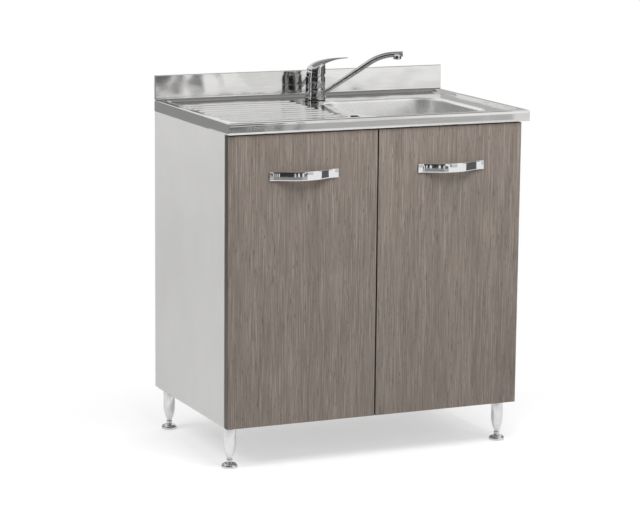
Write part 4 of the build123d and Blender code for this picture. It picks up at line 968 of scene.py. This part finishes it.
class SINK_OT_boards(bpy.types.Operator):
    """Ease the carcass boards' edges and give them their faces"""

    bl_idname = "sink_unit.boards"
    bl_label = "Carcass boards"

    def execute(self, context):
        edges = context.scene.sink_edges
        boards = ("left_side_panel", "right_side_panel", "bottom_panel", "front_rail", "rear_rail")
        rows = [(node, "white_board", edges.board) for node in boards]
        for node, slot, ease in rows + [("back_panel", "back_board", edges.back)]:
            piece = cad_copy(node + "_board", node, flat=True)
            settle(piece, "cabinet", slot, node)
            ease_long_edges(piece, ease, edges.board_shortest)
        battens = cad_copy("batten_strips", "top_battens", flat=True)
        settle(battens, "cabinet", "chipboard", "top_battens")
        return {"FINISHED"}


class SINK_OT_doors(bpy.types.Operator):
    """Make the wood-grain doors with their dark edge bands"""

    bl_idname = "sink_unit.doors"
    bl_label = "Doors"

    def execute(self, context):
        edges = context.scene.sink_edges
        for side in SIDES:
            node = side + "_door"
            piece = cad_copy(node + "_leaf", node, flat=True)
            settle(piece, node, "door_board", node)
            piece.data.materials.append(finish_for("door_edge"))
            faces = piece.data.polygons
            sideways = np.abs(values_of(faces, "normal", 3)[:, 1]) < 0.5
            faces.foreach_set("material_index", sideways.astype(np.int32))
            ease_long_edges(piece, edges.door, edges.door_shortest)
        return {"FINISHED"}


# Handles


def strap_height(x, sizes):
    """The strap's distance from the door: flat tabs, cubic slopes and a shallow parabola for the bow."""
    reach = sizes.reach - sizes.thick / 2 - sizes.crown
    tab = sizes.thick / 2
    away = np.abs(x)
    run = sizes.tab - sizes.bow
    t = np.clip((away - sizes.bow) / run, 0, 1)
    slope = hermite(t, reach - sizes.sag, tab, -sizes.lean * run, 0.0)
    bow = reach - sizes.sag * (away / sizes.bow) ** 2
    return np.where(away < sizes.bow, bow, np.where(away > sizes.tab, tab, slope))


def make_handle(name, node, sizes):
    """A strap: a rounded rectangle carried along the plan curve, with its ends drawn in over the edge radius.

    Its face swells by a parabola of the height.
    """
    low, high = box_of(node)
    middle = (low + high) / 2
    door_face = high[1]
    ends = sizes.half - sizes.edge * (1 - np.sin(np.linspace(0, np.pi / 2, 6)))
    inner = np.concatenate([
        np.linspace(0, sizes.bow - 0.0015, 14),
        np.linspace(sizes.bow - 0.001, sizes.bow + 0.001, 5),
        np.linspace(sizes.bow + 0.0015, sizes.tab, 30),
        np.linspace(sizes.tab + 0.003, sizes.half - 1.5 * sizes.edge, 5),
    ])
    positive = np.concatenate([inner, ends])
    x = np.concatenate([-positive[:0:-1], positive])
    y = strap_height(x, sizes)
    slope_x = np.gradient(x)
    slope_y = np.gradient(y)
    size = np.hypot(slope_x, slope_y)
    across = np.stack([-slope_y / size, slope_x / size], axis=1)
    drawn = np.clip((np.abs(x) - (sizes.half - sizes.edge)) / sizes.edge, 0, 1)
    inset = sizes.edge * (1 - np.sqrt(1 - drawn**2))
    cores, ways = rounded_outline((sizes.thick / 2, sizes.height / 2), sizes.edge, 5, 11)
    ring = cores + (sizes.edge - inset[:, None, None]) * ways
    crown = sizes.crown * (1 - (2 * ring[..., 1] / sizes.height) ** 2)
    out = ring[..., 0] + np.where(ring[..., 0] > 0, crown, 0.0)
    plan_x = x[:, None] + across[:, :1] * out
    plan_y = y[:, None] + across[:, 1:] * out
    points = np.stack([middle[0] + plan_x, door_face - plan_y, middle[2] + ring[..., 1]], axis=-1)
    return add_sections(name, points)


class SINK_OT_handles(bpy.types.Operator):
    """Make the bow handles"""

    bl_idname = "sink_unit.handles"
    bl_label = "Handles"

    def execute(self, context):
        for side in SIDES:
            node = side + "_handle"
            piece = make_handle(node + "_strap", node, context.scene.sink_handles)
            settle(piece, side + "_door", "handle_chrome", node)
        return {"FINISHED"}


# Legs


def make_leg(name, node, sizes):
    """A turned leg: straight above, a smooth cubic taper below, and a rounded lower end."""
    low, high = box_of(node)
    centre = (low + high)[:2] / 2
    bottom, top = low[2], high[2] - sizes.flange
    bore = sizes.stem + sizes.clear
    t = np.linspace(0, 1, 26)
    start = bottom + 0.002
    height = start + t * (sizes.taper - start)
    radius = hermite(t, sizes.neck, sizes.radius, 1.9 * (sizes.radius - sizes.neck), 0.0)
    profile = np.concatenate([
        [[bore, bottom], [sizes.neck - 0.001, bottom], [sizes.neck - 0.0003, bottom + 0.0006]],
        np.stack([radius, height], axis=1),
        [[sizes.radius, top - 0.0008], [sizes.radius - 0.0003, top], [bore, top]],
    ])
    return lathe(name, profile, centre, 72)


def make_flange(name, node, sizes):
    """The square flange: (offset, height) steps carried round a rounded square, with its lower edge eased."""
    low, high = box_of(node)
    centre = (low + high)[:2] / 2
    half = (high - low)[:2] / 2
    corner, ease, thick = sizes.corner, sizes.ease, sizes.flange
    profile = np.array([(-corner, 0.0), (-ease, 0.0), (0.0, ease), (0.0, thick), (-corner, thick)])
    cores, ways = rounded_outline(half, corner, 6, 2)
    rings = cores[None] + (corner + profile[:, :1, None]) * ways[None]
    z = np.broadcast_to(high[2] - thick + profile[:, 1:], rings.shape[:2])
    points = np.concatenate([rings + centre, z[..., None]], axis=-1)
    return add_sections(name, points)


def make_foot(name, node, sizes):
    """A levelling foot, turned from one profile: rim, dome, hollow throat, ball-like collar and stem.

    The dome is most of a quarter ellipse from the rim in to a shoulder beside the neck.
    """
    low, high = box_of(node)
    centre = (low + high)[:2] / 2
    collar_low = sizes.foot_height - sizes.collar
    shoulder = sizes.neck + 0.002
    swell = np.linspace(0, np.radians(78), 20)
    dome = np.stack([shoulder + (sizes.foot - shoulder) * np.cos(swell),
                     sizes.rim + (sizes.dome - sizes.rim) * np.sin(swell)], axis=1)
    throat = softened([dome[-1], (sizes.neck + 0.0006, sizes.dome + 0.0008), (sizes.neck, collar_low)], 0.004)
    ball = sizes.collar / 2
    collar = arc((sizes.neck - 0.0008, sizes.foot_height - ball), ball, -70, 80, 10)
    rim = softened([(0.0, 0.0), (sizes.foot - 0.0006, 0.0), (sizes.foot, sizes.rim)], 0.0012)
    profile = np.concatenate([
        rim[:-1],
        dome,
        throat[1:],
        collar,
        [[sizes.stem, sizes.foot_height], [sizes.stem, high[2]], [0.0, high[2]]],
    ])
    return lathe(name, profile, centre, 72)


class SINK_OT_legs(bpy.types.Operator):
    """Make the turned legs and levelling feet"""

    bl_idname = "sink_unit.legs"
    bl_label = "Legs and feet"

    def execute(self, context):
        sizes = context.scene.sink_legs
        for corner in CORNERS:
            leg = "leg_" + corner
            settle(make_flange(leg + "_flange", leg, sizes), "cabinet", "leg_silver", leg)
            settle(make_leg(leg + "_turned", leg, sizes), "cabinet", "leg_silver", leg)
            foot = "foot_" + corner
            settle(make_foot(foot + "_turned", foot, sizes), foot, "foot_chrome", foot)
        return {"FINISHED"}


# Tap


def tap_points(reach, side, height, turn):
    """Points given along the lever's direction, across it and above the tray, in the model's frame."""
    x = TAP_AXIS[0] + reach * np.cos(turn) - side * np.sin(turn)
    y = TAP_AXIS[1] + reach * np.sin(turn) + side * np.cos(turn)
    return np.stack(np.broadcast_arrays(x, y, PLATE + height), axis=-1)


def tap_ring(name, radius, low, high, inner, ease=0.0007):
    """A ring of the tap: a rectangle profile with eased outer edges, carried round the tap's axis."""
    corners = [(inner, low), (radius, low), (radius, high), (inner, high), (inner, low)]
    profile = softened(corners, ease)
    profile[:, 1] += PLATE
    return lathe(name, profile, TAP_AXIS, 128)


def bezier(first, second, third, fourth, count):
    """A cubic curve from the first point to the fourth, drawn towards the two between."""
    t = np.linspace(0, 1, count)[:, None]
    corners = np.array([first, second, third, fourth])
    shares = np.concatenate([(1 - t) ** 3, 3 * t * (1 - t) ** 2, 3 * t**2 * (1 - t), t**3], axis=1)
    return shares @ corners


def lever_curves(sizes):
    """Top lines in the lever's upright plane: the hub's and the blade's.

    Both climb the hub's back to its crest. The hub's then rounds over, and the blade's runs on to the tip.
    """
    back = -0.895 * sizes.hub
    crest = (0.18 * sizes.hub, sizes.crown + 0.0017)
    climb = bezier((back, sizes.hub_back - 0.0005), (back + 0.0008, sizes.hub_back + 0.006),
                   (-0.47 * sizes.hub, sizes.crown - 0.0035), crest, 80)
    over = bezier(crest, (0.011, sizes.crown + 0.0042),
                  (sizes.hub, sizes.crown + 0.001), (sizes.hub, 0.087), 80)
    blade = bezier(crest, (0.025, sizes.crown + 0.0082),
                   (0.055, sizes.tip - 0.0004), (sizes.reach, sizes.tip), 160)
    return np.concatenate([climb, over[1:]]), np.concatenate([climb, blade[1:]])


def make_hub(sizes):
    """The lever's hub: closed sections along its reach.

    Behind the axis a section's foot lies on a ball, in front of it on a cylinder. The top of a section is
    an elliptic arch. Its underside is the higher of the slanting lower edge and a ball that clears the dome.
    """
    line, _ = lever_curves(sizes)
    hub = sizes.hub
    back = line[0, 0] * np.cos(np.linspace(0, np.pi / 2, 30))
    front = hub * np.sin(np.linspace(0, np.pi / 2, 36))[1:]
    reach = np.concatenate([back, front])
    top = np.interp(reach, line[:, 0], line[:, 1])
    skirt = sizes.hub_front + (sizes.hub_back - sizes.hub_front) * (hub - reach) / (2 * hub)
    rise = (skirt - sizes.dome_centre) * smooth_step(-reach / 0.015)
    half = np.sqrt(np.maximum(hub**2 - reach**2 - rise**2, 1e-9))
    low = np.minimum(skirt, top - 0.0002)
    arch = (top - low) * (0.96 - 0.5 * smooth_step(reach / 0.018))
    across = np.sin(np.linspace(-np.pi / 2, np.pi / 2, 29))
    side = half[:, None] * across
    upper = (top - arch)[:, None] + arch[:, None] * np.sqrt(np.maximum(1 - np.abs(across) ** 2.1, 0))
    ball = np.maximum(sizes.hub_inside**2 - reach[:, None] ** 2 - side**2, 0)
    lower = np.maximum(low[:, None], np.where(ball > 0, sizes.dome_centre + np.sqrt(ball), 0))
    lower = np.minimum(lower, upper - 0.0002)
    drop = np.linspace(1, 0, 6)[1:-1]
    wall = lower[:, -1:] + (upper[:, -1:] - lower[:, -1:]) * drop
    wall_side = np.repeat(half[:, None], 4, axis=1)
    sides = np.concatenate([side, wall_side, side[:, ::-1], -wall_side], axis=1)
    heights = np.concatenate([upper, wall, lower[:, ::-1], wall[:, ::-1]], axis=1)
    return add_sections("lever_hub", tap_points(reach[:, None], sides, heights, sizes.turn), math.radians(50))


def make_blade(sizes):
    """The lever's blade: flat arched sections that rise out of the hub's crown and thin to a round tip."""
    _, line = lever_curves(sizes)
    tip = 0.006
    reach = np.concatenate([
        np.linspace(0.001, sizes.reach - tip, 60),
        sizes.reach - tip + tip * np.sin(np.linspace(0, np.pi / 2, 12))[1:],
    ])
    top = np.interp(reach, line[:, 0], line[:, 1]) - 0.0012 * smooth_step((0.010 - reach) / 0.008)
    under = np.clip((reach - sizes.hub) / (sizes.reach - sizes.hub), 0, 1)
    belly = hermite(under, sizes.neck, sizes.tip - sizes.tip_thick, 0.030, 0.001)
    low = np.minimum(belly, top - sizes.tip_thick)
    share = reach / sizes.reach
    half = sizes.blade_half + (sizes.tip_half - sizes.blade_half) * share
    half = half + 0.004 * np.exp(-((reach - 0.018) / 0.012) ** 2)
    ending = np.clip((reach - sizes.reach + tip) / tip, 0, 1)
    half = half * np.maximum(np.sqrt(np.maximum(1 - ending**2, 0)), 0.03)
    middle = low + 0.45 * (top - low)
    turn = np.linspace(0, 2 * np.pi, 40, endpoint=False)
    across = np.sign(np.cos(turn)) * np.abs(np.cos(turn)) ** 0.8
    lift = np.sin(turn)
    above = (top - middle)[:, None] * np.abs(lift) ** 0.9
    below = (low - middle)[:, None] * np.abs(lift)
    height = np.where(lift > 0, above, below)
    points = tap_points(reach[:, None], half[:, None] * across, middle[:, None] + height, sizes.turn)
    return add_sections("lever_blade", points, math.radians(60))


def spout_line(sizes):
    """The spout's middle line in its upright plane: a straight climb, a round knee and a nearly level end."""
    start = np.array([sizes.start_reach, sizes.start_height])
    knee = np.array([sizes.knee_reach, sizes.knee_height])
    end = np.array([sizes.end_reach, sizes.end_height])
    climb = (knee - start) / np.linalg.norm(knee - start)
    level = (end - knee) / np.linalg.norm(end - knee)
    turn = math.atan2(climb[1], climb[0]) - math.atan2(level[1], level[0])
    cut = sizes.knee_bend * math.tan(turn / 2)
    first = knee - climb * cut
    centre = first + sizes.knee_bend * np.array([climb[1], -climb[0]])
    start_angle = math.degrees(math.atan2(climb[1], climb[0])) + 90
    bend = arc(centre, sizes.knee_bend, start_angle, start_angle - math.degrees(turn), 28)
    run = start + (first - start) * np.linspace(0, 1, 24)[:-1, None]
    out = bend[-1] + (end - bend[-1]) * np.linspace(0, 1, 10)[1:, None]
    return np.concatenate([run, bend, out])


def make_spout_tube(sizes):
    """The tube: circles of slightly changing radius square to the middle line, closed by a crowned end."""
    line = spout_line(sizes)
    along = np.gradient(line, axis=0)
    along /= np.linalg.norm(along, axis=1, keepdims=True)
    share = np.concatenate([[0.0], np.cumsum(np.linalg.norm(np.diff(line, axis=0), axis=1))])
    share /= share[-1]
    radius = sizes.tube * (0.76 + 0.24 * smooth_step(share / 0.5) - 0.06 * smooth_step((share - 0.6) / 0.4))
    crown = np.sin(np.linspace(0, np.pi / 2, 7))[1:]
    cap_line = line[-1] + along[-1] * (crown * sizes.tube_crown)[:, None]
    cap_radius = radius[-1] - sizes.tube_crown * (1 - np.sqrt(1 - crown**2))
    line = np.concatenate([line, cap_line])
    along = np.concatenate([along, np.repeat(along[-1:], len(crown), axis=0)])
    radius = np.concatenate([radius, cap_radius])
    turn = np.linspace(0, 2 * np.pi, 40, endpoint=False)
    out = np.stack([-along[:, 1], along[:, 0]], axis=1)
    reach = line[:, :1] + radius[:, None] * np.cos(turn) * out[:, :1]
    height = line[:, 1:] + radius[:, None] * np.cos(turn) * out[:, 1:]
    side = radius[:, None] * np.sin(turn)
    return add_sections("spout_tube", tap_points(reach, side, height, sizes.turn))


def make_nozzle(sizes, axis, mouth):
    """The nozzle: a round-shouldered cup, open below, turned about its own upright axis."""
    outer, bore, deep = sizes.nozzle_radius, sizes.nozzle_bore, sizes.nozzle_deep
    top = mouth + sizes.nozzle_drop
    corners = [(0.0, top), (outer - 0.002, top), (outer, top - deep), (outer, mouth), (bore, mouth),
               (bore, mouth + deep), (0.0, mouth + deep)]
    return lathe("spout_nozzle", softened(corners, 0.0008), axis, 64)


def make_aerator(sizes, axis, mouth):
    """The aerator: a ring round a sunk screen, which stands a little out of the nozzle's mouth."""
    low = mouth - sizes.aerator_out
    screen = low + sizes.screen_deep
    top = low + sizes.aerator_high
    corners = [(0.0, screen), (sizes.screen, screen), (sizes.screen, low), (sizes.aerator, low),
               (sizes.aerator, top), (0.0, top)]
    return lathe("aerator_ring", softened(corners, 0.0004), axis, 64)


def make_dome(sizes):
    """The dome under the lever: the upper half of a ball on a short round foot with an eased edge."""
    ease = 0.0005
    low, radius = sizes.dome_low, sizes.dome_radius
    profile = np.concatenate([
        [[0.0, low], [radius - ease, low], [radius, low + ease]],
        arc((0.0, sizes.dome_centre), radius, 0, 90, 28),
    ])
    profile[:, 1] += PLATE
    return lathe("lever_dome", profile, TAP_AXIS, 96)


class SINK_OT_tap(bpy.types.Operator):
    """Make the single-lever mixer tap"""

    bl_idname = "sink_unit.tap"
    bl_label = "Mixer tap"

    def execute(self, context):
        s = context.scene.sink_tap
        axis = TAP_AXIS + (s.end_reach - s.nozzle_back) * np.array([math.cos(s.turn), math.sin(s.turn)])
        mouth = PLATE + s.end_height - s.nozzle_drop
        core_top = s.barrel_low + s.core_lap
        pieces = (
            (tap_ring("tap_foot_ring", s.ring_radius, s.seal_top, s.ring_top, s.bore),
             "cabinet", "tap_base_ring"),
            (tap_ring("tap_barrel", s.radius, s.barrel_low, s.barrel_top, s.barrel_bore), "cabinet"),
            (tap_ring("tap_core", s.core, s.core_lap, core_top, s.core_bore), "cabinet", "tap_body"),
            (tap_ring("spout_collar", s.radius, s.collar_low, s.collar_top, s.bore), "spout", "spout"),
            (make_spout_tube(s), "spout", "spout"),
            (make_nozzle(s, axis, mouth), "spout", "spout"),
            (make_aerator(s, axis, mouth), "spout", "aerator"),
            (make_dome(s), "lever_carrier", "lever_carrier"),
            (make_hub(s), "lever", "tap_lever"),
            (make_blade(s), "lever", "tap_lever"),
        )
        for piece, body, *nodes in pieces:
            settle(piece, body, "tap_chrome", *nodes)
        return {"FINISHED"}


# Fittings that keep their CAD shape


class SINK_OT_fittings(bpy.types.Operator):
    """Dress hinges, screws, waste, trap and fixings in smooth copies of their CAD shapes"""

    bl_idname = "sink_unit.fittings"
    bl_label = "Fittings"

    def execute(self, context):
        done = {name for piece in bpy.data.objects for name in piece.get("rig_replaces", [])}
        for row in frame["record"]["subparts"]:
            node, slot = row["node"], row["material_slot"]
            if node in done:
                continue
            piece = cad_copy(node + "_dressed", node)
            settle(piece, frame["nodes"][node]["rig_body"], slot, node)
        return {"FINISHED"}


# Stage

WHITE = (1.0, 1.0, 1.0, 1.0)

# Soft lamps: name, place, point that it faces, width and height, watts.
LAMPS = (
    ("Top lamp", (0.1, -1.1, 2.0), (0.0, -0.1, 0.5), (1.3, 1.0), 30.5),
    ("Front lamp", (1.6, -3.4, 2.6), (0.0, 0.0, 0.6), (1.4, 1.4), 16.0),
    ("Left lamp", (-1.7, 0.1, 2.0), (-0.3, 0.0, 0.7), (1.1, 1.1), 21.5),
    ("Rear lamp", (1.9, 2.3, 2.1), (0.1, 0.1, 0.5), (1.5, 1.5), 22.0),
)

# Cards that only gloss sees: name, bearing from +X in degrees, distance, lower and upper edge, brightness.
CARDS = (
    ("Camera side screen", (191.0, 276.0), 1.9, (0.55, 1.5), 0.04),
    ("Camera side top", (186.0, 276.0), 1.9, (1.5, 2.25), 0.2),
    ("Camera side flat 1", (191.0, 246.0), 1.9, (0.46, 0.55), 0.04),
    ("Camera side flat 2", (248.5, 253.0), 1.9, (0.46, 0.55), 0.04),
    ("Camera side flat 3", (256.0, 262.0), 1.9, (0.46, 0.55), 0.04),
    ("Camera side flat 4", (265.5, 271.0), 1.9, (0.46, 0.55), 0.04),
    ("Camera side flat 5", (275.0, 282.0), 1.9, (0.46, 0.54), 0.14),
    ("Camera side band", (191.0, 271.0), 1.9, (0.2, 0.46), 0.3),
    ("Camera side band end", (271.0, 283.0), 1.9, (0.2, 0.46), 0.5),
    ("Front flat", (284.0, 287.6), 3.6, (0.284, 0.7), 0.2),
    ("Front band", (287.6, 302.0), 3.6, (0.26, 0.7), 0.62),
    ("Front left screen", (279.0, 288.2), 3.6, (0.9, 2.6), 0.2),
    ("Front left card", (288.2, 290.4), 3.6, (0.9, 2.6), 1.3),
    ("Front middle card", (290.4, 296.0), 3.6, (0.9, 2.6), 0.95),
    ("Front right card", (296.0, 332.0), 3.6, (0.9, 2.6), 1.2),
    ("Right side screen", (333.0, 390.0), 1.9, (0.3, 1.25), 0.12),
    ("Right side flat", (316.0, 333.0), 1.9, (0.62, 0.95), 0.12),
    ("Right rear screen", (38.0, 62.0), 1.9, (0.9, 1.5), 0.5),
    ("Rear strip", (20.0, 120.0), 1.9, (1.9, 2.7), 0.85),
    ("Left side screen", (146.0, 180.0), 1.9, (0.4, 1.3), 0.1),
    ("Left rear screen", (92.0, 146.0), 1.9, (0.0, 1.2), 0.36),
)


def area_lamp(name, place, target, size, power):
    """A rectangular lamp that faces a point. Gloss mirrors the white surroundings and cards instead of it."""
    light = bpy.data.lights.new(name, "AREA")
    light.shape = "RECTANGLE"
    light.size, light.size_y = size
    light.energy = power
    lamp = bpy.data.objects.new(name, light)
    bpy.context.scene.collection.objects.link(lamp)
    lamp.visible_glossy = False
    aim = (Vector(target) - Vector(place)).to_track_quat("-Z", "Y")
    lamp.matrix_world = Matrix.Translation(place) @ aim.to_matrix().to_4x4()


def make_world(settings):
    """White to the camera and in gloss, weaker as light on matt surfaces."""
    world = bpy.data.worlds.new("Studio")
    bpy.context.scene.world = world
    n = Nodes(world, bare=True)
    rays = n.add("ShaderNodeLightPath").outputs
    seen = n.math("MAXIMUM", rays["Is Camera Ray"], rays["Is Glossy Ray"])
    clear = n.math("MAXIMUM", seen, rays["Is Transmission Ray"])
    dim = n.add("ShaderNodeBackground", WHITE, settings.fill).outputs[0]
    bright = n.add("ShaderNodeBackground", WHITE, 1.0).outputs[0]
    n.add("ShaderNodeOutputWorld", n.add("ShaderNodeMixShader", clear, dim, bright).outputs[0])


def make_floor(settings):
    """A pale floor, lifted a little towards white near the object and white further off, to eye and gloss."""
    mesh = bpy.data.meshes.new("Studio floor")
    reach = settings.floor_reach
    mesh.from_pydata(
        [(-reach, -reach, 0), (reach, -reach, 0), (reach, reach, 0), (-reach, reach, 0)], [], [[0, 1, 2, 3]]
    )
    floor = bpy.data.objects.new("Studio floor", mesh)
    bpy.context.scene.collection.objects.link(floor)
    material = bpy.data.materials.new("Studio floor")
    mesh.materials.append(material)
    n = Nodes(material, bare=True)
    where = n.add("ShaderNodeTexCoord").outputs["Object"]
    middle = tuple(settings.near_middle)
    away = n.add("ShaderNodeVectorMath", where, middle, operation="DISTANCE").outputs["Value"]
    far = n.add("ShaderNodeMapRange", Value=away, From_Min=settings.near_end, From_Max=settings.far_start)
    far.interpolation_type = "SMOOTHSTEP"
    rays = n.add("ShaderNodeLightPath").outputs
    seen = n.math("MAXIMUM", rays["Is Camera Ray"], rays["Is Glossy Ray"])
    matt = n.add("ShaderNodeBsdfDiffuse", (*settings.floor_grey, 1.0)).outputs[0]
    lift = n.add("ShaderNodeEmission", WHITE, settings.floor_lift).outputs[0]
    near = n.add("ShaderNodeAddShader", matt, lift).outputs[0]
    white = n.add("ShaderNodeEmission", WHITE, 1.0).outputs[0]
    shown = n.add("ShaderNodeMixShader", far.outputs["Result"], near, white).outputs[0]
    n.add("ShaderNodeOutputMaterial", n.add("ShaderNodeMixShader", seen, matt, shown).outputs[0])


def add_card(name, points, brightness):
    """A card over a grid of points, of one even brightness, that only glossy rays see."""
    mesh = bpy.data.meshes.new(name)
    mesh.from_pydata(points.reshape(-1, 3).tolist(), [], grid_quads(*points.shape[:2]).tolist())
    card = bpy.data.objects.new(name, mesh)
    bpy.context.scene.collection.objects.link(card)
    material = bpy.data.materials.new(name)
    mesh.materials.append(material)
    n = Nodes(material, bare=True)
    glow = n.add("ShaderNodeEmission", (brightness, brightness, brightness, 1.0)).outputs[0]
    n.add("ShaderNodeOutputMaterial", glow)
    card.visible_camera = False
    card.visible_diffuse = False
    card.visible_shadow = False
    card.visible_transmission = False


def make_screen(name, bearing, radius, heights, brightness):
    """An upright curved card round the object, so that metal has dark and light to mirror.

    Its points lie at one distance from the origin over a range of bearings, and between two heights.
    """
    turn = np.radians(np.linspace(*bearing, 25))[:, None]
    x, y, z = np.broadcast_arrays(radius * np.cos(turn), radius * np.sin(turn), np.array(heights))
    add_card(name, np.stack([x, y, z], axis=-1), brightness)


def make_ceiling(name, half, height, brightness):
    """A level square card overhead."""
    x, y = np.meshgrid([-half, half], [-half, half], indexing="ij")
    add_card(name, np.stack([x, y, np.full_like(x, height)], axis=-1), brightness)


def make_camera(settings):
    """A level-horizon camera turned by yaw, pitch and roll."""
    yaw, pitch, roll = settings.yaw, settings.pitch, settings.roll
    ahead = Vector((math.sin(yaw) * math.cos(pitch), math.cos(yaw) * math.cos(pitch), math.sin(pitch)))
    right = ahead.cross(Vector((0, 0, 1))).normalized()
    up = right.cross(ahead)
    rolled_right = math.cos(roll) * right + math.sin(roll) * up
    rolled_up = -math.sin(roll) * right + math.cos(roll) * up
    data = bpy.data.cameras.new("Photo camera")
    data.sensor_fit = "HORIZONTAL"
    data.sensor_width = 36.0
    data.lens = settings.lens
    data.clip_end = 100.0
    camera = bpy.data.objects.new("Photo camera", data)
    bpy.context.scene.collection.objects.link(camera)
    turned = Matrix((rolled_right, rolled_up, -ahead)).transposed().to_4x4()
    camera.matrix_world = Matrix.Translation(Vector(settings.place)) @ turned
    bpy.context.scene.camera = camera


class SINK_OT_stage(bpy.types.Operator):
    """Set up the pale floor, soft lamps, cards for the gloss and the photo's camera"""

    bl_idname = "sink_unit.stage"
    bl_label = "Stage"

    def execute(self, context):
        settings = context.scene.sink_stage
        context.scene.view_settings.view_transform = "Standard"
        make_world(settings)
        make_floor(settings)
        for lamp in LAMPS:
            area_lamp(*lamp)
        for card in CARDS:
            make_screen(*card)
        make_ceiling("Ceiling", 1.5, 2.9, 0.35)
        make_camera(settings)
        return {"FINISHED"}


class SINK_PT_panel(bpy.types.Panel):
    """Lists the sink unit's operators and sizes"""

    bl_idname = "SINK_PT_panel"
    bl_label = "Sink base cabinet"
    bl_space_type = "VIEW_3D"
    bl_region_type = "UI"
    bl_category = "Sink"

    def draw(self, context):
        for operator in OPERATORS:
            self.layout.operator(operator.bl_idname)
        for name in PROPERTY_GROUPS:
            group = getattr(context.scene, name)
            column = self.layout.column(heading=name.replace("_", " "))
            for key in group.__annotations__:
                column.prop(group, key, text=key.replace("_", " ").capitalize())


OPERATORS = (
    SINK_OT_top,
    SINK_OT_boards,
    SINK_OT_doors,
    SINK_OT_handles,
    SINK_OT_legs,
    SINK_OT_tap,
    SINK_OT_fittings,
    SINK_OT_stage,
)
PROPERTY_GROUPS = {
    "sink_top": SinkTopSizes,
    "sink_bowl": BowlSizes,
    "sink_tap": TapSizes,
    "sink_edges": EdgeSizes,
    "sink_handles": HandleSizes,
    "sink_legs": LegSizes,
    "sink_colours": FinishColours,
    "sink_stage": StageSettings,
}


def register():
    """Adds the properties, operators and panel."""
    for name, group in PROPERTY_GROUPS.items():
        bpy.utils.register_class(group)
        setattr(bpy.types.Scene, name, bpy.props.PointerProperty(type=group))
    for item in OPERATORS + (SINK_PT_panel,):
        bpy.utils.register_class(item)


def unregister():
    """Takes them away again, last first."""
    for item in reversed(OPERATORS + (SINK_PT_panel,)):
        bpy.utils.unregister_class(item)
    for name, group in reversed(PROPERTY_GROUPS.items()):
        delattr(bpy.types.Scene, name)
        bpy.utils.unregister_class(group)


def main():
    """Makes every piece and the stage."""
    register()
    bpy.ops.sink_unit.top()
    bpy.ops.sink_unit.boards()
    bpy.ops.sink_unit.doors()
    bpy.ops.sink_unit.handles()
    bpy.ops.sink_unit.legs()
    bpy.ops.sink_unit.tap()
    bpy.ops.sink_unit.fittings()
    bpy.ops.sink_unit.stage()


if __name__ == "__main__":
    main()
